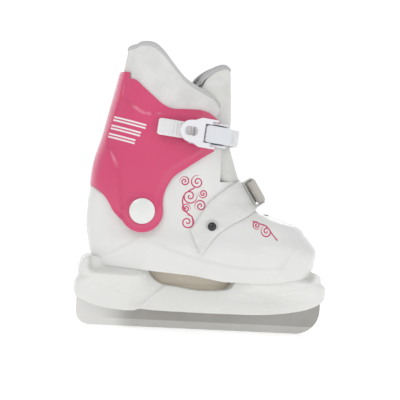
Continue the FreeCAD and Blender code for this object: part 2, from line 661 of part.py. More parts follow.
def tongue_lower():
    sections = [(height, back, centre, front, half - 3.0) for height, back, centre, front, half in TONGUE_SECTIONS]
    body = loft(sections).cut(loft(sections, size.tongue_thick))
    body = body.cut(ankle_wedge(TONGUE_SPLIT_ANGLE, 175, 0))
    rear_cut = side_prism([(-80, 100), (8, 100), (8, FAR), (-80, FAR)])
    low_cut = side_prism([(0, 100), (100, 100), (100, 116.5), (0, 116.5)])
    inside = plan_prism([(0, -SLOT_HALF + 0.5), (90, -SLOT_HALF + 0.5), (90, SLOT_HALF - 0.5),
                         (0, SLOT_HALF - 0.5)], 100, 145)
    high = plan_prism([(0, -HALF_SPAN), (90, -HALF_SPAN), (90, HALF_SPAN), (0, HALF_SPAN)], 144.9, FAR)
    straps = side_prism(strap_outline(), -HALF_SPAN, STRAP_EDGE + 0.5)
    webs = side_prism(webbing_outline(), STRAP_EDGE + 0.4, HALF_SPAN)
    body = body.cut([rear_cut, low_cut]).common(inside.fuse(high))
    body = body.cut(straps.fuse(webs).cut(foot_solid(0, -30)))
    return keep(solid("tongue_low", largest(body)), "tongue_lower")


# ---------------------------------------------------------------- pivot pins, caps and washers
def dome(radius, rim, rise):
    """Domed disc on the XY plane: a rim of straight height under a spherical crown."""
    ball = (radius ** 2 + rise ** 2) / (2 * rise)
    crown = Part.makeSphere(ball, Vector(0, 0, rim + rise - ball))
    return Part.makeCylinder(radius, rim + rise).common(crown.fuse(Part.makeCylinder(radius, rim)))


def on_side(side, x, distance, z):
    """Placement on the outer (-1) or inner (1) side, with local Z pointing outwards."""
    return Placement(Vector(x, side * distance, z), Rotation(Vector(1, 0, 0), -90.0 * side))


def pivots():
    pins = []
    caps = []
    washers = []
    cap_seat = CUFF_SEAT + size.moving_gap
    head_inside = PIN_INSIDE - 2 * size.washer_thick
    for side, tag in ((-1, "outer"), (1, "inner")):
        head = Part.makeCylinder(size.pivot_radius + 3, size.washer_thick)
        shank = Part.makeCylinder(size.pivot_radius, cap_seat - head_inside)
        pins.append(solid(tag + "_pin", joined(head, shank), on_side(side, PIVOT[0], head_inside, PIVOT[1])))
        ring = Part.makeCylinder(size.pivot_radius + 4, size.washer_thick).cut(
            Part.makeCylinder(size.pivot_radius + size.press_gap, size.washer_thick))
        washers.append(solid(tag + "_washer", ring, on_side(side, PIVOT[0], PIN_INSIDE - size.washer_thick,
                                                            PIVOT[1])))
        cap = dome(size.cap_radius, 1.2, size.cap_height - 1.2)
        caps.append(solid(tag + "_cap", cap, on_side(side, PIVOT[0], cap_seat, PIVOT[1])))
    keep(group("pins", *pins), "pivot_pins")
    keep(group("caps", *caps), "pivot_caps")
    keep(group("washers", *washers), "pivot_washers")


# ---------------------------------------------------------------- instep strap, ring and webbing
RIDGE = (TOE - 71.3, BALL + 85)
RIDGE_SLOPE = 56.5
INSTEP = Placement(Vector(RIDGE[0], 0, RIDGE[1]), Rotation(Vector(0, 1, 0), RIDGE_SLOPE))
RING_PLACE = -6.0
STRAP_EDGE = 3.0
WASHER_RADIUS = 6.4
WASHER_THICK = 0.7
RIVET_OUTER = RIVET_SURFACE + size.seat_gap + size.strap_thick + 0.8
RIVET_INNER = RIVET_SURFACE + size.seat_gap + size.webbing_thick + 1.0


def skin_band(points, thick, low, high):
    """Band of even thickness that lies on the foot's outer form inside a side outline."""
    gap = size.seat_gap
    band = foot_solid(-gap - thick, -30).cut(foot_solid(-gap, -30))
    return largest(band.common(side_prism(points, low, high)))


def strap_outline():
    """Side outline of the instep strap, from its riveted corner up to the ring."""
    x, z = STRAP_RIVET
    return [(x + 4, z + 31), (x - 19, z - 3), (x + 2, z - 20), (x + 20.5, z + 4.4), (x + 48, z + 17),
            (x + 64, z + 34), (x + 42, z + 62), (x + 28, z + 45)]


def webbing_outline():
    """Side outline of the webbing, from its rivet towards the ridge of the instep."""
    x, z = STRAP_RIVET
    half = size.webbing_width / 2
    turn = math.atan2(RIDGE[1] - z, RIDGE[0] - x)
    along = (math.cos(turn), math.sin(turn))
    return [(x + reach * along[0] - side * along[1], z + reach * along[1] + side * along[0])
            for reach, side in ((-11, -half), (-11, half), (68, half), (68, -half))]


def instep_strap():
    x, z = STRAP_RIVET
    band = skin_band(strap_outline(), size.strap_thick, -HALF_SPAN, STRAP_EDGE)
    seat = rod((x, -RIVET_OUTER + WASHER_THICK, z), (0, -1, 0), WASHER_RADIUS + size.press_gap, 20)
    hole = rod((x, -20, z), (0, -1, 0), size.strap_rivet_radius + size.press_gap, 60)
    return keep(solid("strap", largest(band.cut([hole, seat]))), "instep_strap")


def strap_rivets():
    x, z = STRAP_RIVET
    rivets = []
    washers = []
    for side, tag, top in ((-1, "outer", RIVET_OUTER), (1, "inner", RIVET_INNER)):
        length = top - RIVET_INSIDE
        shank = Part.makeCylinder(size.strap_rivet_radius, length)
        head = dome(4.2, 0.6, 1.9)
        head.translate(Vector(0, 0, length))
        tail = Part.makeCylinder(5.5, 1)
        rivets.append(solid(tag + "_rivet", joined(shank, head, tail), on_side(side, x, RIVET_INSIDE, z)))
        ring = Part.makeCylinder(WASHER_RADIUS, WASHER_THICK).cut(
            Part.makeCylinder(size.strap_rivet_radius + size.press_gap, WASHER_THICK))
        washers.append(solid(tag + "_ring", ring, on_side(side, x, top - WASHER_THICK, z)))
    keep(group("rivets", *rivets), "strap_rivets")
    keep(group("rings", *washers), "strap_washers")


def strap_ring():
    bar = size.ring_bar
    half = size.ring_width / 2 - bar
    corners = [(-half, bar), (half, bar), (half, size.ring_rise), (-half, size.ring_rise)]
    pieces = []
    for (x0, z0), (x1, z1) in zip(corners, corners[1:] + corners[:1]):
        length = math.hypot(x1 - x0, z1 - z0)
        pieces.append(rod((x0, RING_PLACE, z0), (x1 - x0, 0, z1 - z0), bar, length))
        pieces.append(Part.makeSphere(bar, Vector(x0, RING_PLACE, z0)))
    return keep(solid("ring", joined(*pieces), INSTEP), "strap_ring")


def layer(points, thick, half):
    """Flat strap across the ridge: a (y, z) line made thick upwards and padded along the slope."""
    upper = [(y, z + thick) for y, z in reversed(points)]
    wire = Part.makePolygon([Vector(-half, y, z) for y, z in points + upper + points[:1]])
    return Part.Face(wire).extrude(Vector(2 * half, 0, 0))


RING_ROOM = 1.5


def webbing():
    x, z = STRAP_RIVET
    half = size.webbing_width / 2
    thick = size.webbing_thick
    low = size.ring_rise - RING_ROOM - thick
    skin = skin_band(webbing_outline(), thick, 17, HALF_SPAN)
    over = layer([(RING_PLACE, low), (7, low), (27, -10)], thick * 1.3, half)
    bar = rod((-half - 1, RING_PLACE, size.ring_rise), (1, 0, 0), RING_ROOM, 2 * half + 2)
    over = placed(over.cut(bar), INSTEP)
    trim = foot_solid(-size.seat_gap, -30)
    hole = rod((x, 20, z), (0, 1, 0), size.strap_rivet_radius + size.press_gap, 60)
    seat = rod((x, RIVET_INNER - WASHER_THICK, z), (0, 1, 0), WASHER_RADIUS + size.press_gap, 20)
    body = joined(skin, over).cut([trim, hole, seat])
    keep(solid("webbing", largest(body)), "instep_webbing")
    patch = layer([(RING_PLACE + 4, low + thick * 1.3), (6.5, low + thick * 1.3)], size.patch_thick - 0.4,
                  half - 1.5)
    keep(solid("loop", patch, INSTEP), "loop_patch")


def strap_tail():
    half = size.webbing_width / 2
    thick = size.webbing_thick
    rise = size.ring_rise
    bend = rod((-half, RING_PLACE, rise), (1, 0, 0), RING_ROOM + thick, 2 * half).cut(
        rod((-half, RING_PLACE, rise), (1, 0, 0), RING_ROOM, 2 * half))
    quarter = Part.makeBox(2 * half, 10, 10, Vector(-half, RING_PLACE - 10, rise))
    top = layer([(RING_PLACE, rise + RING_ROOM), (8.4, rise + RING_ROOM), (27, -4.5)], thick, half)
    keep(solid("tail", joined(bend.common(quarter), top), INSTEP), "strap_tail")
    patch = layer([(RING_PLACE + 4, rise + RING_ROOM - size.patch_thick),
                   (6.5, rise + RING_ROOM - size.patch_thick)], size.patch_thick, half - 1.5)
    keep(solid("hook", patch, INSTEP), "hook_patch")


# ---------------------------------------------------------------- ladder strap and ratchet buckle
STRAP = Placement(Vector(0, 0, size.strap_height), Rotation(Vector(0, 1, 0), size.strap_tilt))


def cuff_surface(x):
    """Half-width of the cuff's outside at x, at the strap's height, in front of the widest place."""
    centre, front, half = -48.0, 26.0, ANKLE + 3.5
    return half * (1 - ((x - centre) / (front - centre)) ** FRONT_POWER) ** (1 / FRONT_POWER)


BUCKLE_LOCAL = (Placement(Vector(size.buckle_place, -cuff_surface(size.buckle_place) - 0.2, 0),
                          Rotation(Vector(0, 0, 1), size.buckle_yaw))
                * Placement(Vector(), Rotation(Vector(1, 0, 0), 90)))
BUCKLE = STRAP * BUCKLE_LOCAL
LADDER_FRONT = 20.5
LADDER_HALF = 25.5
BUCKLE_FRONT = 27.0


def placed(shape, place):
    moved = shape.copy()
    moved.Placement = place * moved.Placement
    return moved


def ladder_centre_line():
    """Plan line of the ladder strap: tail, straight through the buckle, round the front, inner side."""
    turn = math.radians(size.buckle_yaw)
    ahead = Vector(math.cos(turn), math.sin(turn), 0)
    lift = size.ladder_lift + size.ladder_thick / 2
    start = Vector(size.buckle_place, -cuff_surface(size.buckle_place) - 0.2, 0)
    start += Vector(math.sin(turn), -math.cos(turn), 0) * lift
    rear = start - ahead * 19
    front = start + ahead * BUCKLE_FRONT
    bend = 60.0
    inward = Vector(-math.sin(turn), math.cos(turn), 0)
    centre = rear + inward * bend

    def on_bend(angle):
        lean = math.radians(angle)
        return centre + Vector(math.sin(lean), -math.cos(lean), 0) * bend

    tail = Part.Arc(on_bend(-size.buckle_yaw), on_bend(0.0), rear)
    edges = [tail.toShape(), Part.LineSegment(rear, front).toShape()]
    outer_turn = (LADDER_FRONT - front.x) / (1 - math.sin(turn))
    corner = Vector(LADDER_FRONT, front.y + outer_turn * math.cos(turn), 0)
    hub = corner - Vector(outer_turn, 0, 0)
    middle = hub + Vector(math.cos(turn / 2 - math.pi / 4), math.sin(turn / 2 - math.pi / 4), 0) * outer_turn
    edges.append(Part.Arc(front, middle, corner).toShape())
    inner_corner = Vector(LADDER_FRONT, LADDER_HALF, 0)
    edges.append(Part.LineSegment(corner, inner_corner).toShape())
    inner_turn = 12.6
    hub = inner_corner - Vector(inner_turn, 0, 0)
    lean = math.pi / 2 - turn
    middle = hub + Vector(math.cos(lean / 2), math.sin(lean / 2), 0) * inner_turn
    close = hub + Vector(math.cos(lean), math.sin(lean), 0) * inner_turn
    edges.append(Part.Arc(inner_corner, middle, close).toShape())
    edges.append(Part.LineSegment(close, close + Vector(-math.cos(turn), math.sin(turn), 0) * 34).toShape())
    return edges


LADDER_TEETH = 22
TOOTH_PITCH = 2.3


def ladder_strap():
    path = ladder_centre_line()
    wide = size.ladder_width / 2
    thick = size.ladder_thick / 2
    start = path[0].valueAt(path[0].FirstParameter)
    heading = path[0].tangentAt(path[0].FirstParameter)
    across = Vector(-heading.y, heading.x, 0)
    up = Vector(0, 0, 1)
    corners = [start + across * a + up * b for a, b in ((-thick, -wide), (thick, -wide), (thick, wide),
                                                        (-thick, wide), (-thick, -wide))]
    band = Part.Wire(path).makePipeShell([Part.makePolygon(corners)], True, False)
    teeth = []
    for number in range(LADDER_TEETH):
        reach = 3.0 + number * TOOTH_PITCH
        edge = path[0] if reach < path[0].Length else path[1]
        along = reach if reach < path[0].Length else reach - path[0].Length
        mark = edge.getParameterByLength(along)
        point = edge.valueAt(mark)
        heading = edge.tangentAt(mark)
        tooth = Part.makeBox(1.1, 1.2, size.ladder_width - 3, Vector(-0.55, -0.9, -wide + 1.5))
        tooth.Placement = Placement(point + Vector(heading.y, -heading.x, 0) * (thick + 0.5),
                                    Rotation(Vector(1, 0, 0), heading))
        teeth.append(tooth)
    hole = ladder_rivet_shank(size.press_gap)
    body = joined(band, *teeth).cut(hole)
    return keep(solid("ladder", largest(body), STRAP), "ladder_strap")


def ladder_anchor():
    """Point on the ladder's middle line and its heading, where the rivet holds it to the cuff."""
    end = ladder_centre_line()[-1]
    mark = end.getParameterByLength(27.0)
    return end.valueAt(mark), end.tangentAt(mark)


def ladder_rivet_frame():
    point, heading = ladder_anchor()
    outward = Vector(heading.y, -heading.x, 0)
    return Placement(point, Rotation(Vector(0, 0, 1), outward))


def ladder_rivet_shank(room):
    start = -size.ladder_thick / 2 - 5.5
    shank = Part.makeCylinder(2 + room, size.ladder_thick / 2 + 0.8 - start, Vector(0, 0, start))
    return placed(shank, ladder_rivet_frame())


def ladder_rivet_head_room():
    room = Part.makeCylinder(5, 6, Vector(0, 0, -size.ladder_thick / 2 - 9))
    return placed(room, ladder_rivet_frame())


def ladder_rivet():
    thick = size.ladder_thick / 2
    head = dome(4.5, 0.6, 1.8)
    head.translate(Vector(0, 0, thick + 0.8))
    tail = Part.makeCylinder(4, 1, Vector(0, 0, -thick - 5.6))
    shank = Part.makeCylinder(2, thick * 2 + 6, Vector(0, 0, -thick - 5.2))
    keep(solid("ladder_pin", joined(shank, head, tail), STRAP * ladder_rivet_frame()), "ladder_rivet")
    seat = Vector(0, 0, thick)
    ring = Part.makeCylinder(5.4, 0.8, seat).cut(Part.makeCylinder(2 + size.press_gap, 0.8, seat))
    keep(solid("ladder_ring", ring, STRAP * ladder_rivet_frame()), "ladder_washer")


EAR_INSIDE = size.ear_half - size.ear_thick
LEVER_PIN = (8.0, size.pin_height)
RELEASE_PIN = (size.release_pin_place, 8.0)
RELEASE_HUB_RADIUS = 2.0
RELEASE_PIN_RADIUS = 1.1
HUB_ROOM = 3.5
PLATE_LOW = size.pin_height + HUB_ROOM + 0.1


def slab(points, low, high):
    """Prism across the buckle (local Y) of an (x, z) polygon."""
    return side_prism(points, low, high)


def both_sides(points, low, high):
    return [slab(points, low, high), slab(points, -high, -low)]


def buckle_rivet_shapes(room):
    return [Part.makeCylinder(2 + room, 5.6 + room, Vector(-6.5, y, -3.8 - room)) for y in (-5, 5)]


def buckle_base():
    plate = Part.makeBox(38, 2 * size.ear_half, 5, Vector(-12, -size.ear_half, -3))
    plate = plate.makeFillet(3, [edge for edge in plate.Edges if abs(edge.tangentAt(0).z) > 0.9])
    profile = [(-4, 0), (26, 0), (26, 5), (23.5, 10.2), (16, 10.2), (12.5, size.pin_height + 1.2),
               (5, size.pin_height + 1.2), (-1, 4)]
    ears = both_sides(profile, EAR_INSIDE, size.ear_half)
    hubs = [rod((LEVER_PIN[0], side, LEVER_PIN[1]), (0, 1, 0), 3.2, size.ear_thick)
            for side in (-size.ear_half, EAR_INSIDE)]
    body = joined(plate, *ears, *hubs)
    tools = [rod((LEVER_PIN[0], -20, LEVER_PIN[1]), (0, 1, 0), size.pin_radius + size.press_gap, 40),
             rod((RELEASE_PIN[0], -20, RELEASE_PIN[1]), (0, 1, 0), RELEASE_PIN_RADIUS + size.press_gap, 40)]
    tools += buckle_rivet_shapes(size.press_gap)
    body = placed(body.cut(tools), BUCKLE).cut(loft(CUFF_SECTIONS, -0.1, CUFF_POWER))
    return keep(solid("base", largest(body)), "buckle_base")


def buckle_lever():
    reach = size.lever_reach
    half = size.lever_half
    ring_x = LEVER_PIN[0] - reach + 10.5
    low = PLATE_LOW
    ring = Part.makeCylinder(10.5, size.lever_thick, Vector(ring_x, 0, low))
    fan = plan_prism([(ring_x, -10.5), (ring_x + 3, -10.9), (-5, -half), (11, -half), (11, half), (-5, half),
                      (ring_x + 3, 10.9), (ring_x, 10.5)], low, low + size.lever_thick)
    arm = [(0.5, size.pin_height), (LEVER_PIN[0] + 4.2, size.pin_height), (LEVER_PIN[0] + 4.2, low + 1),
           (11, low + size.lever_thick), (0.5, low + size.lever_thick)]
    inside = size.ear_half + size.moving_gap
    arms = both_sides(arm, inside, half)
    hubs = [rod((LEVER_PIN[0], side, LEVER_PIN[1]), (0, 1, 0), 4.2, half - inside) for side in (-half, inside)]
    pawl = slab([(-8.5, low + 1), (-8.0, 6.1), (-6.6, 6.1), (-4, low + 1)], -6, 6)
    body = joined(ring, fan, pawl, *arms, *hubs)
    hole = Part.makeCylinder(4.6, 20, Vector(ring_x - 2, 0, low - 5)).fuse(
        Part.makeCylinder(4.6, 20, Vector(ring_x + 2.4, 0, low - 5)))
    wide_slot = plan_prism([(6, -inside), (20, -inside), (20, inside), (6, inside)], low - 4, low + 10)
    slot = plan_prism([(-1, -9), (20, -9), (20, 9), (-1, 9)], low - 1, low + 10)
    pin = rod((LEVER_PIN[0], -20, LEVER_PIN[1]), (0, 1, 0), size.pin_radius + size.running_gap, 40)
    return keep(solid("lever", largest(body.cut([hole, wide_slot, slot, pin])), BUCKLE), "buckle_lever")


def release_button():
    face = PLATE_LOW - 1.6
    plate = Part.makeBox(26, 16.4, 3.8, Vector(1, -8.2, face))
    plate = plate.makeFillet(2.4, [edge for edge in plate.Edges if abs(edge.tangentAt(0).z) > 0.9])
    web = slab([(RELEASE_PIN[0] - 2.6, RELEASE_PIN[1]), (RELEASE_PIN[0] + 2.6, RELEASE_PIN[1]),
                (RELEASE_PIN[0] + 2.6, face + 1), (RELEASE_PIN[0] - 2.6, face + 1)], -4.6, 4.6)
    hub = rod((RELEASE_PIN[0], -4.6, RELEASE_PIN[1]), (0, 1, 0), RELEASE_HUB_RADIUS, 9.2)
    catch = slab([(2, face + 1), (2.6, 6.1), (3.8, 6.1), (6.4, face + 1)], -5.5, 5.5)
    pin = rod((RELEASE_PIN[0], -20, RELEASE_PIN[1]), (0, 1, 0), RELEASE_PIN_RADIUS + size.running_gap, 40)
    body = joined(plate, web, hub, catch).cut([pin])
    return keep(solid("button", largest(body), BUCKLE), "release_button")


def buckle_pins():
    half = size.lever_half + 0.4
    pin = rod((LEVER_PIN[0], -half, LEVER_PIN[1]), (0, 1, 0), size.pin_radius, 2 * half)
    keep(solid("main_pin", pin, BUCKLE), "lever_pin")
    half = size.ear_half + 0.2
    pin = rod((RELEASE_PIN[0], -half, RELEASE_PIN[1]), (0, 1, 0), RELEASE_PIN_RADIUS, 2 * half)
    keep(solid("small_pin", pin, BUCKLE), "release_pin")
    coils = []
    for side in (-1, 1):
        for turn in range(4):
            place = Vector(RELEASE_PIN[0], side * (5.6 + turn * 1.0), RELEASE_PIN[1])
            coils.append(Part.makeTorus(RELEASE_PIN_RADIUS + 0.5, 0.42, place, Vector(0, 1, 0)))
    keep(solid("coil", Part.makeCompound(coils), BUCKLE), "release_spring")
    rivets = buckle_rivet_shapes(0)
    keep(solid("base_rivets", Part.makeCompound(rivets), BUCKLE), "buckle_rivets")


# ---------------------------------------------------------------- build, check and write
def build():
    runner()
    bolts_and_nuts()
    holder()
    sole_screws()
    boot_shell()
    footbed()
    liner_foot()
    tongue_lower()
    pivots()
    cuff_shell()
    liner_cuff()
    liner_binding()
    tongue_upper()
    tongue_binding()
    instep_strap()
    strap_rivets()
    strap_ring()
    webbing()
    strap_tail()
    ladder_strap()
    ladder_rivet()
    buckle_base()
    buckle_lever()
    release_button()
    buckle_pins()
    doc.recompute()


def check_and_write():
    for thing in doc.Objects:
        if "Invalid" in thing.State or "Error" in thing.State:
            raise RuntimeError("failed object: " + thing.Label)
    for thing in nodes:
        shape = thing.Shape
        if shape.isNull() or not shape.isValid() or not shape.Solids:
            raise RuntimeError("bad shape: " + thing.Label)
    os.makedirs("parts", exist_ok=True)
    for thing in nodes:
        thing.Shape.exportStep("parts/%s.step" % thing.Label)
        box = thing.Shape.BoundBox
        print("%-16s %2d solids %9.0f mm3  x %7.1f %7.1f  y %6.1f %6.1f  z %6.1f %6.1f" % (
            thing.Label, len(thing.Shape.Solids), thing.Shape.Volume, box.XMin, box.XMax, box.YMin, box.YMax,
            box.ZMin, box.ZMax))


build()
check_and_write()
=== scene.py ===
"""Looks of a child's hard-shell ice skate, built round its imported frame.

All lengths in this file are millimetres unless a name says otherwise; they become metres as a mesh is made.
"""
import logging
import math
from bisect import bisect_right
from dataclasses import dataclass, field
from enum import Enum
from typing import Callable, Iterable, Sequence

import bmesh
import bpy
from mathutils import Matrix, Vector
from mathutils.bvhtree import BVHTree


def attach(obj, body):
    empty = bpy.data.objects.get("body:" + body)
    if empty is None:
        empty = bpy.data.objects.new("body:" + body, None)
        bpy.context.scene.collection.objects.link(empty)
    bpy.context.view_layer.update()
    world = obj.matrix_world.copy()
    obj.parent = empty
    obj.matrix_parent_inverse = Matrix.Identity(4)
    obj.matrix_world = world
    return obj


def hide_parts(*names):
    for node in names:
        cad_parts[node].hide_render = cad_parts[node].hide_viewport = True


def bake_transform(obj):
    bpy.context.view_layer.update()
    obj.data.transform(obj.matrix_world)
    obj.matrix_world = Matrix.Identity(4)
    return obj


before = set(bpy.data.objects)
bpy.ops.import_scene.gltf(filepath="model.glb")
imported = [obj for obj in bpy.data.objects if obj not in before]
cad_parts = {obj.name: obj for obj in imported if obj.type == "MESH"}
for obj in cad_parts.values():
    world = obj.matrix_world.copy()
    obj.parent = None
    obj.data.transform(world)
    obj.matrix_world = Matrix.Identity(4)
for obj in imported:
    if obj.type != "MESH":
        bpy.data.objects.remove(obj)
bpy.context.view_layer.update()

MM = 0.001
log = logging.getLogger("skate")

# ---------------------------------------------------------------- places shared with the frame
HEEL = -120.3
TOE = 110.9
BALL = 52.0
PIVOT = (-70.0, 116.6)
ANKLE = 40.2
BALL_HALF = 46.4
STRAP_Z = 193.5
STRAP_TILT = math.radians(5.2)
RIDGE = (39.6, 137.0)
RIDGE_SLOPE = math.radians(56.5)
FOOT_TOP = 187.0
CLEAR_HALF = 90.0
SLOT_HALF = 19.0
SLOT_WAY = (0.0, 0.0, 120.0)

SidePoint = tuple[float, float]


class Carving(Enum):
    """What a tool mesh does to a piece."""

    CUT = "DIFFERENCE"
    KEEP = "INTERSECT"


# ---------------------------------------------------------------- curves
def ease(low: float, high: float, value: float) -> float:
    """Smooth step from 0 at low to 1 at high."""
    share = min(1.0, max(0.0, (value - low) / (high - low)))
    return share * share * (3.0 - 2.0 * share)


def through(knots: Sequence[float], values: Sequence[float], at: float) -> float:
    """Cubic through values at rising knots.

    Args:
        knots: rising positions.
        values: one value for each knot.
        at: where to read, held to the ends.

    Returns:
        The value on the smooth curve.
    """
    at = min(knots[-1], max(knots[0], at))
    index = min(len(knots) - 2, max(0, bisect_right(knots, at) - 1))

    def slope(i: int) -> float:
        low, high = max(0, i - 1), min(len(knots) - 1, i + 1)
        return (values[high] - values[low]) / (knots[high] - knots[low])

    width = knots[index + 1] - knots[index]
    t = (at - knots[index]) / width
    a, b = values[index], values[index + 1]
    return ((2 * t ** 3 - 3 * t ** 2 + 1) * a + (t ** 3 - 2 * t ** 2 + t) * width * slope(index)
            + (3 * t ** 2 - 2 * t ** 3) * b + (t ** 3 - t ** 2) * width * slope(index + 1))


def smooth_path(points: Sequence[Sequence[float]], pieces: int) -> list[tuple[float, ...]]:
    """Catmull-Rom curve through points.

    Args:
        points: the points to pass, each of two or three numbers.
        pieces: how many pieces lie between two points.

    Returns:
        The points of the smooth curve, both ends included.
    """
    count = len(points)
    made: list[tuple[float, ...]] = []
    for span in range(count - 1):
        a, b, c, d = (points[min(count - 1, max(0, span + k))] for k in (-1, 0, 1, 2))
        for step in range(pieces):
            t = step / pieces
            made.append(tuple(
                0.5 * (2 * q + (r - p) * t + (2 * p - 5 * q + 4 * r - s) * t * t + (3 * q - p - 3 * r + s) * t ** 3)
                for p, q, r, s in zip(a, b, c, d)))
    made.append(tuple(points[-1]))
    return made


def distance_to(points: Sequence[SidePoint], x: float, z: float) -> float:
    """Signed distance from a side point to an open line: positive to the left of its direction."""
    best = (1e9, 1.0)
    for (ax, az), (bx, bz) in zip(points, points[1:]):
        dx, dz = bx - ax, bz - az
        share = min(1.0, max(0.0, ((x - ax) * dx + (z - az) * dz) / (dx * dx + dz * dz)))
        ox, oz = x - ax - share * dx, z - az - share * dz
        gap = math.hypot(ox, oz)
        if gap < best[0]:
            best = (gap, 1.0 if dx * oz - dz * ox >= 0 else -1.0)
    return best[0] * best[1]


def inside(points: Sequence[SidePoint], x: float, z: float) -> float:
    """Signed distance to a closed outline: positive inside."""
    ring = list(points) + [points[0]]
    odd = False
    for (ax, az), (bx, bz) in zip(ring, ring[1:]):
        if (az > z) != (bz > z) and x < (bx - ax) * (z - az) / (bz - az) + ax:
            odd = not odd
    gap = abs(distance_to(ring, x, z))
    return gap if odd else -gap


# ---------------------------------------------------------------- lofted forms
@dataclass(frozen=True)
class Form:
    """A form given by plan outlines, each (height, back, centre, front, half), with their roundness."""

    outlines: tuple[tuple[float, float, float, float, float], ...]
    rear_power: float = 2.4
    front_power: float = 2.4

    def reading(self, z: float) -> tuple[float, float, float, float]:
        """Back, centre, front and half-width at a height."""
        heights = [row[0] for row in self.outlines]
        back, centre, front, half = (through(heights, [row[k] for row in self.outlines], z) for k in (1, 2, 3, 4))
        return back, centre, front, half

    def point(self, z: float, turn: float, inset: float = 0.0) -> Vector:
        """Point on the form at a height, at a turn of the plan (0 is the toe), drawn in by an inset."""
        back, centre, front, half = self.reading(z)
        ahead = math.cos(turn) >= 0
        power = 2.0 / (self.front_power if ahead else self.rear_power)
        reach = (front - centre if ahead else centre - back) - inset
        along = math.copysign(abs(math.cos(turn)) ** power, math.cos(turn))
        across = math.copysign(abs(math.sin(turn)) ** power, math.sin(turn))
        return Vector((centre + reach * along, (half - inset) * across, z))

    def width(self, x: float, z: float, inset: float = 0.0) -> float:
        """Half-width of the form at a side point, or 0 outside it."""
        back, centre, front, half = self.reading(z)
        reach = (front - centre if x > centre else centre - back) - inset
        power = self.front_power if x > centre else self.rear_power
        share = abs(x - centre) / max(reach, 0.01)
        return (half - inset) * (1 - share ** power) ** (1 / power) if share < 1 else 0.0


FOOT = Form((
    (48, HEEL + 20, 20, TOE - 12, BALL_HALF - 8), (60, HEEL + 9.8, 24, TOE - 5, BALL_HALF - 2),
    (73, HEEL + 5.5, 24, TOE - 0.5, BALL_HALF - 0.2), (86, HEEL + 2.3, 20, TOE - 0.4, BALL_HALF),
    (98, HEEL + 0.1, 8, TOE - 9.9, BALL_HALF - 3.4), (108, HEEL, -12, TOE - 19, ANKLE + 0.8),
    (116, HEEL + 0.3, -28, TOE - 43, ANKLE), (125, HEEL + 0.7, -40, TOE - 65, ANKLE),
    (134, HEEL + 1.9, -50, TOE - 72, ANKLE), (152, HEEL + 3.5, -50, TOE - 83.4, ANKLE - 0.4),
    (170, HEEL + 5, -50, TOE - 88.4, ANKLE - 0.4), (190, HEEL + 6, -50, TOE - 90.4, ANKLE - 0.4)), 2.0, 2.4)
CUFF = Form((
    (88, HEEL + 4, -48, 24, 43.7), (138, HEEL + 3, -48, 25, 43.7), (160, HEEL + 4.8, -48, 26, 43.7),
    (185, HEEL + 11.5, -48, 26, 43.7), (215, HEEL + 18, -48, 26, 43.7), (245, HEEL + 24.5, -48, 26, 43.2),
    (295, HEEL + 34, -48, 26, 41.2)))
LINER = Form((
    (100, HEEL + 11, -50, 22, 36.6), (150, HEEL + 11, -50, 22.4, 36.6), (172, HEEL + 12.5, -48, 22.6, 36.9),
    (190, HEEL + 16, -48, 22.8, 40.3), (215, HEEL + 21.1, -48, 22.8, 40.5), (245, HEEL + 27.6, -48, 22.8, 40.1),
    (265, HEEL + 30.4, -48, 22.8, 39.6), (300, HEEL + 33, -48, 22.8, 38.2)))
TONGUE = Form((
    (112, -60, -30, 62, 31), (126, -60, -38, 45.5, 31), (149, -60, -44, 30, 31.5), (169, -60, -46, 22.3, 32),
    (185, -60, -48, 17.6, 33), (215, -60, -48, 16.6, 33), (245, -60, -48, 14.6, 33), (285, -60, -48, 12, 33)))

# ---------------------------------------------------------------- meshes
Rings = Sequence[Sequence[Vector]]


def skin(rings: Rings, caps: bool = True, column_closed: bool = True) -> bmesh.types.BMesh:
    """Skin over rings of points: one ring is made, then extruded from station to station.

    Args:
        rings: stations of equal length, in millimetres.
        caps: whether the two ends get a face.
        column_closed: whether each station is a loop.

    Returns:
        A bmesh in millimetres.
    """
    bm = bmesh.new()
    column = bm.verts.layers.int.new("column")
    count = len(rings[0])
    if column_closed:
        bmesh.ops.create_circle(bm, cap_ends=False, radius=1.0, segments=count)
        bm.verts.ensure_lookup_table()
    else:
        previous = None
        for _ in range(count):
            vert = bm.verts.new()
            if previous is not None:
                bm.edges.new((previous, vert))
            previous = vert
        bm.verts.ensure_lookup_table()
    for index, vert in enumerate(bm.verts):
        vert[column] = index
        vert.co = rings[0][index]
    first = list(bm.edges)
    edges = first
    for ring in rings[1:]:
        made = bmesh.ops.extrude_edge_only(bm, edges=edges)["geom"]
        for vert in (item for item in made if isinstance(item, bmesh.types.BMVert)):
            vert.co = ring[vert[column]]
        fresh = {item for item in made if isinstance(item, bmesh.types.BMVert)}
        edges = [item for item in made if isinstance(item, bmesh.types.BMEdge)
                 and item.verts[0] in fresh and item.verts[1] in fresh]
    if caps and column_closed:
        bmesh.ops.contextual_create(bm, geom=first)
        bmesh.ops.contextual_create(bm, geom=edges)
    bmesh.ops.recalc_face_normals(bm, faces=bm.faces)
    return bm


def block(corners: Iterable[Sequence[float]], way: Sequence[float]) -> bmesh.types.BMesh:
    """Solid made by extruding one flat face, given by its corners, along a way in millimetres."""
    bm = bmesh.new()
    face = bm.faces.new([bm.verts.new(corner) for corner in corners])
    made = bmesh.ops.extrude_face_region(bm, geom=[face])["geom"]
    bmesh.ops.translate(bm, vec=way, verts=[v for v in made if isinstance(v, bmesh.types.BMVert)])
    bmesh.ops.recalc_face_normals(bm, faces=bm.faces)
    return bm


def prism(points: Iterable[SidePoint]) -> bmesh.types.BMesh:
    """Prism of a closed side outline, wider across Y than the skate."""
    return block([(x, -CLEAR_HALF, z) for x, z in points], (0, 2 * CLEAR_HALF, 0))


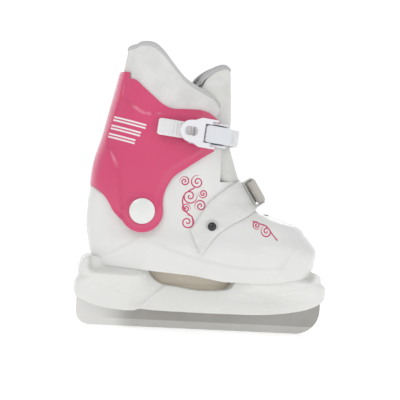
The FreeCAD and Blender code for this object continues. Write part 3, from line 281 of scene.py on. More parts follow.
def shade(bm: bmesh.types.BMesh, smooth_below: float) -> None:
    """Shades a bmesh smooth below an edge angle in degrees, and sharp above it."""
    limit = math.radians(smooth_below)
    for face in bm.faces:
        face.smooth = True
    for edge in bm.edges:
        edge.smooth = len(edge.link_faces) != 2 or edge.calc_face_angle(0.0) < limit


def to_object(name: str, bm: bmesh.types.BMesh, smooth_below: float = 40.0) -> bpy.types.Object:
    """Object from a bmesh in millimetres, shaded smooth below an edge angle in degrees."""
    bmesh.ops.scale(bm, vec=(MM, MM, MM), verts=bm.verts)
    shade(bm, smooth_below)
    mesh = bpy.data.meshes.new(name)
    bm.to_mesh(mesh)
    bm.free()
    thing = bpy.data.objects.new(name, mesh)
    bpy.context.scene.collection.objects.link(thing)
    return thing


def bake(thing: bpy.types.Object) -> None:
    """Applies every modifier of an object."""
    view = bpy.context.evaluated_depsgraph_get()
    mesh = bpy.data.meshes.new_from_object(thing.evaluated_get(view), depsgraph=view)
    thing.modifiers.clear()
    thing.data = mesh


def carve(thing: bpy.types.Object, tool: bmesh.types.BMesh | bpy.types.Object,
          carving: Carving = Carving.CUT) -> None:
    """Cuts an object with a tool, or keeps what both share, and drops the tool."""
    cutter = tool if isinstance(tool, bpy.types.Object) else to_object("tool", tool)
    change = thing.modifiers.new("carve", "BOOLEAN")
    change.object, change.operation, change.solver = cutter, carving.value, "EXACT"
    bake(thing)
    bpy.data.objects.remove(cutter)


def soften(thing: bpy.types.Object, smooth_below: float = 35.0) -> None:
    """Cleans a carved mesh: joins slivers and shades it smooth below an edge angle in degrees."""
    bm = bmesh.new()
    bm.from_mesh(thing.data)
    bmesh.ops.remove_doubles(bm, verts=bm.verts, dist=0.02 * MM)
    bmesh.ops.dissolve_degenerate(bm, edges=bm.edges, dist=0.005 * MM)
    shade(bm, smooth_below)
    bm.to_mesh(thing.data)
    bm.free()


def subdivide(thing: bpy.types.Object, levels: int = 1) -> None:
    """Live Subdivision Surface with the same levels in view and render."""
    change = thing.modifiers.new("round", "SUBSURF")
    change.levels = change.render_levels = levels


def place_on(thing: bpy.types.Object, body: str, replaces: Iterable[str],
             finish: bpy.types.Material) -> None:
    """Gives a piece its finish, its body and the frame nodes it stands for."""
    thing.data.materials.clear()
    thing.data.materials.append(finish)
    if body:
        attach(thing, body)
    nodes = list(replaces)
    if nodes:
        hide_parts(*nodes)
    log.info("%s: %d faces", thing.name, len(thing.data.polygons))


# ---------------------------------------------------------------- shader maths
class Wire:
    """A number socket; arithmetic on it adds Math nodes."""

    def __init__(self, paint: "Paint", socket: bpy.types.NodeSocket) -> None:
        """Wraps a socket of a paint's node tree."""
        self.paint = paint
        self.socket = socket

    def math(self, operation: str, *others: "Wire | float", swapped: bool = False) -> "Wire":
        """Adds one Math node.

        Args:
            operation: the Math node's operation.
            others: further operands.
            swapped: whether this wire is the second operand.

        Returns:
            The node's result.
        """
        operands = [self, *others]
        if swapped:
            operands.reverse()
        made = self.paint.node("ShaderNodeMath", {"operation": operation}, dict(enumerate(operands)))
        return Wire(self.paint, made.outputs[0])

    def __add__(self, other: "Wire | float") -> "Wire":
        """Sum."""
        return self.math("ADD", other)

    __radd__ = __add__

    def __sub__(self, other: "Wire | float") -> "Wire":
        """Difference."""
        return self.math("SUBTRACT", other)

    def __rsub__(self, other: "Wire | float") -> "Wire":
        """Difference from a number."""
        return self.math("SUBTRACT", other, swapped=True)

    def __mul__(self, other: "Wire | float") -> "Wire":
        """Product."""
        return self.math("MULTIPLY", other)

    __rmul__ = __mul__

    def __truediv__(self, other: "Wire | float") -> "Wire":
        """Quotient."""
        return self.math("DIVIDE", other)

    def __rtruediv__(self, other: "Wire | float") -> "Wire":
        """Quotient of a number."""
        return self.math("DIVIDE", other, swapped=True)

    def __abs__(self) -> "Wire":
        """Size without sign."""
        return self.math("ABSOLUTE")

    def least(self, other: "Wire | float") -> "Wire":
        """The smaller of two."""
        return self.math("MINIMUM", other)

    def most(self, other: "Wire | float") -> "Wire":
        """The larger of two."""
        return self.math("MAXIMUM", other)

    def root(self) -> "Wire":
        """Square root."""
        return self.math("SQRT")

    def wave(self) -> "Wire":
        """Sine."""
        return self.math("SINE")

    def step(self, low: float, high: float) -> "Wire":
        """Smooth step from 0 at low to 1 at high; low may be above high."""
        made = self.paint.node("ShaderNodeMapRange", {"interpolation_type": "SMOOTHSTEP"},
                               {0: self, 1: min(low, high), 2: max(low, high), 3: float(low > high),
                                4: float(low < high)})
        return Wire(self.paint, made.outputs[0])


class Paint:
    """One material and the nodes in it."""

    def __init__(self, name: str) -> None:
        """Starts an empty material of that name."""
        self.material = bpy.data.materials.new(name)
        self.material.use_nodes = True
        self.tree = self.material.node_tree
        self.tree.nodes.clear()
        self.place = self.node("ShaderNodeTexCoord", {}, {}).outputs["Object"]
        split = self.node("ShaderNodeSeparateXYZ", {}, {0: self.place})
        self.x, self.y, self.z = (Wire(self, split.outputs[k]) * 1000.0 for k in range(3))

    def node(self, kind: str, settings: dict[str, object], values: dict[int | str, object]) -> bpy.types.Node:
        """Adds a node.

        Args:
            kind: the node's type.
            settings: its properties, set first.
            values: its sockets' numbers, colours, sockets or wires.

        Returns:
            The node.
        """
        made = self.tree.nodes.new(kind)
        for name, value in settings.items():
            setattr(made, name, value)
        for key, value in values.items():
            if isinstance(value, Wire):
                value = value.socket
            if isinstance(value, bpy.types.NodeSocket):
                self.tree.links.new(value, made.inputs[key])
            else:
                made.inputs[key].default_value = value
        return made

    def noise(self, per_metre: float, detail: float = 2.0, stretch: Sequence[float] = (1, 1, 1)) -> Wire:
        """Noise from 0 to 1, with that many lumps in a metre and an optional stretch of each axis."""
        where = self.node("ShaderNodeVectorMath", {"operation": "MULTIPLY"}, {0: self.place, 1: tuple(stretch)})
        made = self.node("ShaderNodeTexNoise", {}, {"Vector": where.outputs[0], "Scale": per_metre,
                                                    "Detail": detail})
        return Wire(self, made.outputs[0])

    def cells(self, per_metre: float) -> Wire:
        """Distance to the nearest cell centre, for leather grain."""
        made = self.node("ShaderNodeTexVoronoi", {"feature": "F1"}, {"Vector": self.place, "Scale": per_metre})
        return Wire(self, made.outputs[0])

    def mix(self, share: Wire, low: object, high: object) -> bpy.types.NodeSocket:
        """Colour between low and high."""
        made = self.node("ShaderNodeMix", {"data_type": "RGBA"}, {0: share, 6: low, 7: high})
        return made.outputs[2]

    def bump(self, height: Wire, depth: float, strength: float = 1.0) -> bpy.types.NodeSocket:
        """Normal from a height of 0 to 1 and a depth in millimetres."""
        made = self.node("ShaderNodeBump", {}, {"Strength": strength, "Distance": depth * MM, "Height": height})
        return made.outputs[0]

    def finish(self, **sockets: object) -> bpy.types.Material:
        """Closes the material with one Principled shader; an underscore in a name stands for a space."""
        values = {name.replace("_", " "): value for name, value in sockets.items()}
        shader = self.node("ShaderNodeBsdfPrincipled", {}, values)
        self.node("ShaderNodeOutputMaterial", {}, {0: shader.outputs[0]})
        return self.material


Colour = tuple[float, float, float, float]


def srgb(red: int, green: int, blue: int) -> Colour:
    """Linear colour from 0 to 255 screen values."""
    def line(value: int) -> float:
        share = value / 255.0
        return share / 12.92 if share <= 0.04045 else ((share + 0.055) / 1.055) ** 2.4
    return line(red), line(green), line(blue), 1.0


def darker(colour: Colour, share: float) -> Colour:
    """The colour with its light cut by a share."""
    return colour[0] * (1 - share), colour[1] * (1 - share), colour[2] * (1 - share), 1.0


@dataclass(frozen=True)
class Moulded:
    """Moulded plastic: faint flow marks, fine pebble, rubbed patches of a different gloss."""

    colour: Colour
    roughness: float = 0.22
    coat: float = 0.35
    pebble: float = 0.012
    light_through: float = 0.0
    coat_roughness: float = 0.12

    def base(self, paint: Paint) -> tuple[bpy.types.NodeSocket, Wire, Wire]:
        """Colour, roughness and height shared by all moulded finishes."""
        flow = paint.noise(28.0, 3.0, (1.0, 1.0, 0.45))
        rubbed = paint.noise(85.0, 4.0).step(0.5, 0.8)
        scratch = paint.noise(420.0, 2.0, (0.12, 1.0, 1.0)).step(0.66, 0.72)
        tint = paint.mix(flow.step(0.3, 0.7), darker(self.colour, 0.03), self.colour)
        rough = self.roughness + rubbed * 0.025 + scratch * 0.05
        height = paint.noise(900.0, 1.0) * 0.5 + flow * 0.5
        return tint, rough, height

    def close(self, paint: Paint, tint: bpy.types.NodeSocket, rough: Wire, height: Wire) -> bpy.types.Material:
        """Closes a moulded material round its colour, roughness and height."""
        return paint.finish(Base_Color=tint, Roughness=rough, Coat_Weight=self.coat,
                            Coat_Roughness=self.coat_roughness, Subsurface_Weight=self.light_through,
                            Subsurface_Scale=0.004, Normal=paint.bump(height, self.pebble * 4))

    def material(self, name: str) -> bpy.types.Material:
        """The finished material."""
        paint = Paint(name)
        return self.close(paint, *self.base(paint))


def curl(paint: Paint, middle: SidePoint, radius: float, turning: int, start: float) -> Wire:
    """Distance in millimetres from a spiral drawn on the sides, and far away outside its radius.

    Args:
        paint: the material's nodes.
        middle: the spiral's centre.
        radius: its outer reach.
        turning: 1 or -1, the way it winds.
        start: where the winding begins, as a share of a turn.

    Returns:
        The distance as a wire.
    """
    dx, dz = paint.x - middle[0], paint.z - middle[1]
    reach = (dx * dx + dz * dz).root()
    angle = dz.math("ARCTAN2", dx) * (turning / (2 * math.pi))
    pitch = radius / 1.75
    winding = (reach / pitch - angle + start).math("FRACT")
    return abs(winding - 0.5) * pitch + (reach - radius).most(0.0) * 4.0


def near_line(paint: Paint, points: Sequence[SidePoint]) -> Wire:
    """Distance in millimetres from an open line drawn on the sides."""
    nearest: Wire | None = None
    for (ax, az), (bx, bz) in zip(points, points[1:]):
        dx, dz = bx - ax, bz - az
        along = (((paint.x - ax) * dx + (paint.z - az) * dz) / (dx * dx + dz * dz)).most(0.0).least(1.0)
        ox, oz = paint.x - ax - along * dx, paint.z - az - along * dz
        gap = (ox * ox + oz * oz).root()
        nearest = gap if nearest is None else nearest.least(gap)
    return nearest


@dataclass(frozen=True)
class HolderPlastic(Moulded):
    """The holder's white plastic, with a darker beige in the recess under the arch: partly the web's own tone, partly
    painted shade.
    """

    web_tone_and_shade: Colour = srgb(203, 193, 176)

    def material(self, name: str) -> bpy.types.Material:
        """The finished material."""
        paint = Paint(name)
        tint, rough, height = self.base(paint)
        # painted shade: the recess under the arch is coloured a darker beige, partly the web's own tone and partly
        # painted shade
        deep = abs(paint.y).step(9.5, 7.5) * paint.x.step(-62.0, -58.0) * paint.x.step(32.0, 28.0)
        tint = paint.mix(deep * paint.z.step(38.0, 39.5), tint, self.web_tone_and_shade)
        return self.close(paint, tint, rough, height)


@dataclass(frozen=True)
class ScrolledShell(Moulded):
    """The white shell with its printed scrolls, of this maker's own drawing."""

    ink: Colour = srgb(196, 62, 104)
    curls: tuple[tuple[float, float, float, int, float], ...] = (
        (-30.0, 147.5, 4.9, 1, 0.1), (-17.2, 147.6, 6.6, -1, 0.4), (-24.0, 133.4, 7.4, 1, 0.7),
        (-11.0, 136.6, 4.4, -1, 0.1), (-13.0, 124.6, 5.8, 1, 0.2), (-27.0, 121.6, 4.4, -1, 0.6),
        (-25.0, 108.3, 6.8, 1, 0.9), (54.0, 103.4, 5.8, -1, 0.3), (44.0, 109.0, 4.2, 1, 0.5))
    stems: tuple[tuple[SidePoint, ...], ...] = (
        ((-20.0, 141.5), (-28.5, 136.0), (-31.0, 128.0), (-27.5, 118.5), (-20.5, 113.5), (-19.5, 106.0)),
        ((40.5, 112.5), (49.0, 110.0), (54.5, 108.2), (60.0, 101.0), (65.0, 95.5)))

    def material(self, name: str) -> bpy.types.Material:
        """The finished material."""
        paint = Paint(name)
        tint, rough, height = self.base(paint)
        lines = [curl(paint, (cx, cz), radius, turning, start) for cx, cz, radius, turning, start in self.curls]
        nearest = lines[0]
        for line in lines[1:]:
            nearest = nearest.least(line)
        drawn = nearest.step(0.85, 0.5)
        for stem in self.stems:
            drawn = drawn.most(near_line(paint, smooth_path(stem, 2)).step(0.85, 0.5))
        drawn = drawn * abs(paint.y).step(18.0, 22.0)
        worn = paint.noise(160.0, 3.0).step(0.74, 0.62)
        tint = paint.mix(drawn * (0.8 + worn * 0.2), tint, self.ink)
        return self.close(paint, tint, rough, height)


@dataclass(frozen=True)
class StripedCuff(Moulded):
    """The pink cuff with three plain printed stripes on its rear."""

    print_colour: Colour = srgb(236, 232, 232)
    coat_roughness: float = 0.1
    stripe_start: SidePoint = (-101.0, 204.0)
    stripe_end: SidePoint = (-71.0, 197.5)
    stripe_gap: float = 8.4

    def material(self, name: str) -> bpy.types.Material:
        """The finished material."""
        paint = Paint(name)
        tint, rough, height = self.base(paint)
        (ax, az), (bx, bz) = self.stripe_start, self.stripe_end
        length = math.hypot(bx - ax, bz - az)
        ux, uz = (bx - ax) / length, (bz - az) / length
        along = (paint.x - ax) * ux + (paint.z - az) * uz
        across = (paint.z - az) * ux - (paint.x - ax) * uz
        bars: Wire | None = None
        for index in range(3):
            middle = across + index * self.stripe_gap
            reach = (abs(along - length * 0.5 + index * 1.6) - length * 0.5 + index * 1.4).step(0.3, -0.3)
            bar = (abs(abs(middle) - 1.5)).step(0.95, 0.7) * reach
            bars = bar if bars is None else bars.most(bar)
        worn = paint.noise(220.0, 3.0).step(0.72, 0.6)
        tint = paint.mix(bars * (0.6 + worn * 0.4) * abs(paint.y).step(14.0, 16.0), tint, self.print_colour)
        return self.close(paint, tint, rough, height)


@dataclass(frozen=True)
class Steel:
    """Ground or plated steel, with fine lines along X and duller rubbed patches; with an edge band set, also a
    painted reflection that brightens the heel end, and a lighter, rougher strip along the bottom edge.
    """

    colour: Colour = srgb(168, 166, 163)
    bright: Colour = srgb(214, 213, 211)
    roughness: float = 0.3
    grind: tuple[float, float, float] = (0.05, 1.0, 1.0)
    edge_band: float = 0.0
    metallic: float = 0.6

    def material(self, name: str) -> bpy.types.Material:
        """The finished material."""
        paint = Paint(name)
        lines = paint.noise(2600.0, 2.0, self.grind)
        patch = paint.noise(22.0, 3.0).step(0.3, 0.7)
        shine = patch * 0.12
        rough = self.roughness + lines * 0.14 - patch * 0.05
        if self.edge_band:
            # painted reflection: the runner's heel end is painted bright; the strip below the edge band height is
            # painted lighter and made rougher
            heel = paint.x.step(-62.0, -104.0)
            band = paint.z.step(self.edge_band + 0.6, self.edge_band - 0.2)
            shine = (shine + heel * 0.9 + band * 0.35).least(1.0)
            rough = rough + band * 0.06
        tint = paint.mix(shine, self.colour, self.bright)
        return paint.finish(Base_Color=tint, Roughness=rough, Metallic=self.metallic,
                            Normal=paint.bump(lines, 0.02))


@dataclass(frozen=True)
class Knit:
    """Soft lining cloth: small rows of stitches over a crumpled pad."""

    colour: Colour
    rows: float = 1.1
    depth: float = 0.16

    def material(self, name: str) -> bpy.types.Material:
        """The finished material."""
        paint = Paint(name)
        turn = 2 * math.pi / self.rows
        rows = (paint.z * turn + paint.x * 0.25).wave()
        stitch = ((paint.x + paint.y * 0.8) * turn + paint.z * 0.3).wave()
        weave = (rows * stitch) * 0.5 + 0.5
        crumple = paint.noise(60.0, 3.0)
        height = weave * 0.35 + crumple * 0.65 + paint.noise(1400.0, 1.0) * 0.15
        shade = crumple.step(0.3, 0.7) * 0.7 + weave * 0.3
        tint = paint.mix(shade, darker(self.colour, 0.13), self.colour)
        return paint.finish(Base_Color=tint, Roughness=0.82 + crumple * 0.08, Sheen_Weight=0.25,
                            Sheen_Roughness=0.5, Normal=paint.bump(height, self.depth * 3, 0.7))


@dataclass(frozen=True)
class Vinyl:
    """Coated cloth with a leather grain and soft creases."""

    colour: Colour
    grain: float = 620.0
    roughness: float = 0.42

    def material(self, name: str) -> bpy.types.Material:
        """The finished material."""
        paint = Paint(name)
        pores = paint.cells(self.grain)
        crease = paint.noise(45.0, 4.0, (1.0, 1.0, 2.2))
        height = pores.step(0.1, 0.7) * 0.5 + crease * 0.5
        # painted shade: the vinyl is darker in the hollows of its creases
        tint = paint.mix(crease.step(0.25, 0.75), darker(self.colour, 0.1), self.colour)
        rough = self.roughness + pores * 0.12 + crease * 0.08
        return paint.finish(Base_Color=tint, Roughness=rough, Coat_Weight=0.08, Coat_Roughness=0.3,
                            Normal=paint.bump(height, 0.28, 0.6))


@dataclass(frozen=True)
class Woven:
    """Woven tape: a plain weave laid on the piece's own UV map, in yarns along and across."""

    colour: Colour
    yarns: tuple[float, float] = (34.0, 70.0)

    def material(self, name: str) -> bpy.types.Material:
        """The finished material."""
        paint = Paint(name)
        flat = paint.node("ShaderNodeUVMap", {"uv_map": "lay"}, {})
        split = paint.node("ShaderNodeSeparateXYZ", {}, {0: flat.outputs[0]})
        u, v = (Wire(paint, split.outputs[k]) for k in range(2))
        warp = (u * (2 * math.pi * self.yarns[0])).wave()
        weft = (v * (2 * math.pi * self.yarns[1])).wave()
        weave = warp * weft * 0.5 + 0.5
        fuzz = paint.noise(700.0, 3.0)
        # painted shade: the tape is darker where the weave sinks between the yarns; the fuzz varies the tone at
        # random
        tint = paint.mix((weave * 0.7 + fuzz * 0.3).least(1.0), darker(self.colour, 0.24), self.colour)
        return paint.finish(Base_Color=tint, Roughness=0.78 + fuzz * 0.15, Sheen_Weight=0.2,
                            Normal=paint.bump(weave * 0.8 + fuzz * 0.2, 0.3, 0.8))


@dataclass(frozen=True)
class Pile:
    """Touch fastener: a dense small pile."""

    colour: Colour

    def material(self, name: str) -> bpy.types.Material:
        """The finished material."""
        paint = Paint(name)
        loops = paint.cells(1500.0)
        tint = paint.mix(loops.step(0.2, 0.8), self.colour, darker(self.colour, 0.35))
        return paint.finish(Base_Color=tint, Roughness=0.9 - loops * 0.05,
                            Normal=paint.bump(loops, 0.5))


# ---------------------------------------------------------------- shapes that several pieces share
def ray(angle: float, reach: float) -> SidePoint:
    """Side point at a distance from the pivot, at an angle in degrees from the toe upwards."""
    turn = math.radians(angle)
    return PIVOT[0] + reach * math.cos(turn), PIVOT[1] + reach * math.sin(turn)


def sole_line(lift: float) -> list[SidePoint]:
    """The sole's side line from heel to toe, raised by lift."""
    return [(HEEL - 40, BALL + 10.5 + lift), (HEEL + 10, BALL + 9.5 + lift), (HEEL + 104, BALL + 4.75 + lift),
            (HEEL + 134, BALL + lift), (TOE - 52, BALL + lift), (TOE - 17, BALL + 5 + lift),
            (TOE + 30, BALL + 22 + lift)]


def foot_outline(lift: float, throat: SidePoint, hub: float, front: float = 43.0) -> list[SidePoint]:
    """Side outline of the shell or its liner: sole, throat, front ray, round hub over the pivot, rear ray."""
    rear = 150.0
    slope = math.tan(math.radians(front))
    top = PIVOT[1] + (throat[0] - PIVOT[0]) * slope
    crown = [(throat[0], top)] if top < FOOT_TOP else [(throat[0], FOOT_TOP),
                                                       (PIVOT[0] + (FOOT_TOP - PIVOT[1]) / slope, FOOT_TOP)]
    bend = [ray(front + (rear - front) * k / 14, hub) for k in range(15)]
    return sole_line(lift) + [(TOE + 30, throat[1]), throat] + crown + bend + [ray(rear, 120.0)]


def tube(form: Form, heights: Sequence[float], columns: int, inset: Callable[[Vector], float]) -> bmesh.types.BMesh:
    """Closed tube of a form, whose inset may change with the place.

    Args:
        form: the form to follow.
        heights: the stations' heights.
        columns: points in each station.
        inset: gives the inset at a point of the bare form.

    Returns:
        The tube as a bmesh in millimetres.
    """
    rings = []
    for z in heights:
        turns = [2 * math.pi * k / columns for k in range(columns)]
        rings.append([form.point(z, turn, inset(form.point(z, turn))) for turn in turns])
    return skin(rings)


def steps(low: float, high: float, count: int) -> list[float]:
    """Even steps from low to high, both included."""
    return [low + (high - low) * k / count for k in range(count + 1)]


def lay_map(thing: bpy.types.Object, columns: int, stations: int) -> None:
    """UV map "lay": across the piece by column, along it by station, for a skin made in that order."""
    layer = thing.data.uv_layers.new(name="lay")
    column = thing.data.attributes["column"].data
    for face in thing.data.polygons:
        across = [column[thing.data.loops[k].vertex_index].value for k in face.loop_indices]
        wraps = max(across) - min(across) > columns / 2
        for k, at in zip(face.loop_indices, across):
            station = thing.data.loops[k].vertex_index // columns
            layer.data[k].uv = ((at + columns * (wraps and at < columns / 2)) / columns, station / stations)


CUFF_LOBE = [ray(212 + 144 * k / 16, 20.7) for k in range(17)]
CUFF_OUTLINE: list[SidePoint] = [
    *smooth_path([(-124, 139.1), (-114, 135.6), (-104, 126.2), (-96.5, 114.1), CUFF_LOBE[0]], 6)[:-1],
    *CUFF_LOBE[:-1],
    *smooth_path([CUFF_LOBE[-1], (-49.8, 132.8), (-42.5, 149.6), (-29.8, 160.0), (-17, 169.0), (-3, 178.1)], 6)[:-1],
    *smooth_path([(-3, 178.1), (3, 194.6), (1.6, 206), (-8.6, 214.4), (-19.2, 217.3)], 6)[:-1],
    *smooth_path([(-19.2, 217.3), (-34, 217.1), (-46.4, 216.7), (-56, 220.4), (-65.8, 228), (-75.2, 236),
                  (-82.6, 242.4), (-87.5, 243.4)], 6),
    (-88.5, 250), (-124, 250.6)]
LINER_RIM_X = (-140.3, -89.3, -84.3, -70.3, -58.3, -47.3, -35.3, -22.3, -4.3, 1.7)
LINER_RIM_Z = (270.5, 277.0, 279.5, 278.3, 270.5, 259.5, 247.0, 239.5, 231.0, 224.5)
TONGUE_RIM_X = (-26.0, -22.0, -17.0, -7.0, 3.0, 9.0, 13.0, 40.0)
TONGUE_RIM_Z = (236.5, 240.0, 249.5, 258.0, 262.9, 264.0, 262.5, 261.5)


# ---------------------------------------------------------------- hard pieces
@dataclass
class HardShell:
    """The white lower shell with its toe bumper, sole ridge, heel counter and open throat."""

    wall: float = 3.0
    columns: int = 220
    low: float = 47.0
    high: float = 189.0
    rows: int = 100
    finish: Moulded = field(default_factory=lambda: ScrolledShell(srgb(226, 226, 223), light_through=0.04))

    bumper: tuple[SidePoint, ...] = ((112, 98.5), (100, 98.8), (90, 93.5), (80, 84), (72, 72), (66, 62), (62, 50))
    ridge: tuple[SidePoint, ...] = ((-112, 64), (-93, 75.5), (-78, 85.5), (-70, 89.6), (-52, 85.4), (-35, 78.8),
                                    (0, 70.6), (28, 66.5), (60, 66.8), (74, 69.5))
    counter: tuple[SidePoint, ...] = ((-108, 70), (-99, 79), (-93.5, 90), (-93, 100), (-97, 112))

    def inset(self, at: Vector) -> float:
        """Moulded relief, and a rebate where the cuff covers the shell."""
        x, z = at.x, at.z
        out = 0.9 * ease(-0.6, 0.6, distance_to(self.bumper, x, z)) if x > 55 else 0.0
        out += 0.8 * ease(0.6, -0.6, distance_to(self.ridge, x, z)) * ease(82, 70, x)
        gap = abs(distance_to(self.counter, x, z))
        out -= 0.45 * ease(1.1, 0.2, gap)
        covered = inside(CUFF_OUTLINE, x, z)
        if covered > -1.5 and abs(at.y) > 0.5:
            room = CUFF.width(x, z, 3.4) - abs(at.y)
            share = ease(-0.6, 0.4, covered)
            if room < 0:
                return -out + share * min(2.4, -room)
        return -out

    def build(self) -> bpy.types.Object:
        """Makes the shell: outer form, cut to its side outline, hollowed and slotted."""
        outline = foot_outline(0.0, (6.0, 149.0), 35.5, 52.0)
        shell = to_object("boot_shell_moulded", tube(FOOT, steps(self.low, self.high, self.rows), self.columns,
                                                     self.inset))
        carve(shell, prism(outline), Carving.KEEP)
        hollow = to_object("hollow", tube(FOOT, steps(self.low, self.high + 4, 60), 120, lambda at: self.wall))
        carve(hollow, prism(foot_outline(4.0, (240.0, 230.0), 5.0)[:8] + [(-165, 235)]), Carving.KEEP)
        carve(shell, hollow)
        end = [(56 + 5 * math.cos(a), SLOT_HALF * math.sin(a), 112) for a in steps(-1.5, 1.5, 12)]
        carve(shell, block([(5, -SLOT_HALF, 112), *end, (5, SLOT_HALF, 112)], SLOT_WAY))
        soften(shell)
        place_on(shell, "boot", ["boot_shell"], self.finish.material("shell_white"))
        return shell


@dataclass
class Holder:
    """The white holder: heel cup with a raised panel, rail with a slanted step, recess under the arch, toe cup."""

    finish: Moulded = field(default_factory=lambda: HolderPlastic(srgb(226, 226, 222), 0.26, 0.3, 0.012, 0.04))
    stations: int = 230
    levels: int = 52
    centre: float = -2.3
    reach_x: float = 126.6
    bunch: float = 0.06
    low_x: tuple[float, ...] = (-129, -127.5, -124, -111, -90, -73.2, -67.5, -64.5, -48, 0, 25, 56, 78, 100, 113,
                                121.5, 123.6, 124.4)
    low_z: tuple[float, ...] = (34.5, 30, 27, 21.4, 17.8, 16.8, 17.2, 18.6, 17.8, 17.2, 17.4, 18, 20.3, 24.6, 29.4,
                                35.6, 39.5, 42)
    top_x: tuple[float, ...] = (-129, -128.3, -127, -125.5, -121, -113, -95, -60, 0, 60, 92, 105, 113, 119, 123,
                                124.4)
    top_z: tuple[float, ...] = (36, 41, 47, 58, 66.5, 69.5, 66, 64.5, 60, 57, 60.5, 63.5, 62, 55.5, 49, 43)
    lens_x: tuple[float, ...] = (-59, -56, -51, -43, -28, -5, 14, 21, 25, 28)
    lens_z: tuple[float, ...] = (63, 55.5, 49.5, 44.8, 42.6, 39.8, 40.8, 42.4, 45, 51)
    deep_half: float = 6.0
    step: tuple[SidePoint, ...] = ((-66.5, 10), (-65.2, 20.9), (-39.9, 43.2), (-30, 52))
    panel: tuple[SidePoint, ...] = ((-122.5, 25), (-115.5, 40.5), (-110, 42.6), (-72, 32.2), (-76, 8), (-118, 8))
    crease: tuple[SidePoint, ...] = ((24, 41), (28.6, 39), (53.1, 34.2), (99.6, 48.5), (112, 54))

    def reach(self, x: float) -> float:
        """Half-width of the plan at x, round at the heel and the toe."""
        middle, back, front = -20.0, -129.6, 125.0
        share = (middle - x) / (middle - back) if x < middle else (x - middle) / (front - middle)
        return 45.0 * max(0.0, 1 - share ** 2.6) ** (1 / 2.3)

    def half(self, x: float, z: float) -> float:
        """Half-width of the holder at a side point."""
        plan = self.reach(x)
        rail = min(plan, 11.0 + 5.0 * ease(-50, -85, x) + 5.0 * ease(50, 95, x))
        cover = ease(53, 60, z) * ease(-119, -107, x) * ease(112, 100, x)
        wide = max(min(rail, plan), plan * 0.92 + (min(plan * 0.92, FOOT.width(x, max(z, 50.0)) - 0.8)
                                                   - plan * 0.92) * cover)
        flare = ease(24, 54, z) if x < -20 else ease(30, 50, z)
        out = rail + (wide - rail) * flare * max(ease(-42, -74, x), ease(10, 46, x))
        if -59 < x < 28:
            edge = through(self.lens_x, self.lens_z, x)
            out = out + (self.deep_half - out) * ease(edge - 0.5, edge + 0.9, z)
        out += 1.2 * ease(-0.8, 0.8, -distance_to(self.step, x, z)) * ease(46, 42, z) * ease(90, 60, x)
        out += 0.9 * ease(-0.5, 0.7, inside(self.panel, x, z)) * ease(-121, -113, x)
        out -= 1.3 * ease(-1.0, 1.0, distance_to(self.crease, x, z)) * ease(20, 30, x) * ease(108, 96, x)
        return max(0.4, min(out, plan + 1.2))

    def station(self, share: float) -> float:
        """X of a section at a share of the length: even in the middle, closer at the two ends."""
        def bunched(at: float) -> float:
            return self.centre - self.reach_x * math.cos(math.pi * at)

        if not self.bunch <= share <= 1 - self.bunch:
            return bunched(share)
        first, last = bunched(self.bunch), bunched(1 - self.bunch)
        return first + (last - first) * (share - self.bunch) / (1 - 2 * self.bunch)

    def notch(self, x: float, z: float) -> float:
        """Shift along X that makes the waist between the two lobes at the heel and at the toe."""
        heel = 2.6 * ease(-108, -128, x) * math.exp(-((z - 50.0) / 3.2) ** 2)
        toe = 3.2 * ease(104, 123, x) * math.exp(-((z - 53.5) / 3.0) ** 2)
        return heel - toe

    def build(self) -> None:
        """Makes the holder from sections across the foot."""
        rings = []
        for k in range(self.stations + 1):
            x = self.station(k / self.stations)
            low, top = through(self.low_x, self.low_z, x), through(self.top_x, self.top_z, x)
            side = []
            for level, z in enumerate(steps(low, top, self.levels)):
                edge = 1 - 0.12 * ease(1.5, 0, min(level, self.levels - level))
                side.append((self.half(x, z) * edge, z))
            rings.append([Vector((x + self.notch(x, z), -y, z)) for y, z in side]
                         + [Vector((x + self.notch(x, z), y, z)) for y, z in reversed(side)])
        holder = to_object("holder_moulded", skin(rings), 38)
        place_on(holder, "boot", ["blade_holder"], self.finish.material("holder_white"))


@dataclass
class HingedCuff:
    """The pink cuff: swept top, rear tab, stepped spine, moulded recess lines and round lobes."""

    wall: float = 2.8
    columns: int = 300
    rows: int = 132
    finish: Moulded = field(default_factory=lambda: StripedCuff(srgb(212, 72, 114), light_through=0.05))

    spine: tuple[SidePoint, ...] = ((-88.6, 108), (-88.8, 116), (-91.2, 134.3), (-94.5, 156.5), (-101, 170),
                                    (-104.5, 178), (-104, 186), (-96.5, 217), (-93.9, 227), (-90.9, 252))
    front_fold: tuple[SidePoint, ...] = ((-52.3, 112), (-52.3, 118), (-53.2, 140), (-50, 149.7), (-41, 159.9),
                                         (-30.8, 167), (-16, 177), (-6, 186))
    crest_fold: tuple[SidePoint, ...] = ((-93, 222), (-82.3, 215.7), (-76.3, 211.7), (-69.8, 210.1),
                                         (-60.4, 211), (-44.7, 213.0), (-24, 212.0), (-8, 208))

    def inset(self, at: Vector) -> float:
        """Moulded relief of the cuff's outside."""
        x, z = at.x, at.z
        out = 1.5 * ease(-0.7, 0.7, distance_to(self.spine, x, z))
        out -= 1.1 * ease(-0.7, 0.7, distance_to(self.crest_fold, x, z)) * ease(-96, -90, x)
        gap = distance_to(self.front_fold, x, z)
        out -= 1.2 * ease(0.7, -0.7, gap) * ease(100, 108, z)
        ring = math.hypot(x - PIVOT[0], z - PIVOT[1])
        out += 0.55 * ease(16.6, 15.6, ring)
        out -= 0.5 * ease(1.4, 0.3, abs(inside(CUFF_OUTLINE, x, z) - 4.6)) * ease(150, 140, z) * ease(-96, -90, x)
        return -out

    def build(self) -> bpy.types.Object:
        """Makes the cuff: outer form, hollowed, then cut to its side outline."""
        heights = steps(90, 255, self.rows)
        cuff = to_object("cuff_moulded", tube(CUFF, heights, self.columns, self.inset))
        hollow = tube(CUFF, steps(85, 260, 40), 120, lambda at: self.wall)
        carve(cuff, hollow)
        carve(cuff, prism(CUFF_OUTLINE), Carving.KEEP)
        soften(cuff)
        place_on(cuff, "cuff", ["cuff_shell"], self.finish.material("cuff_pink"))
        return cuff


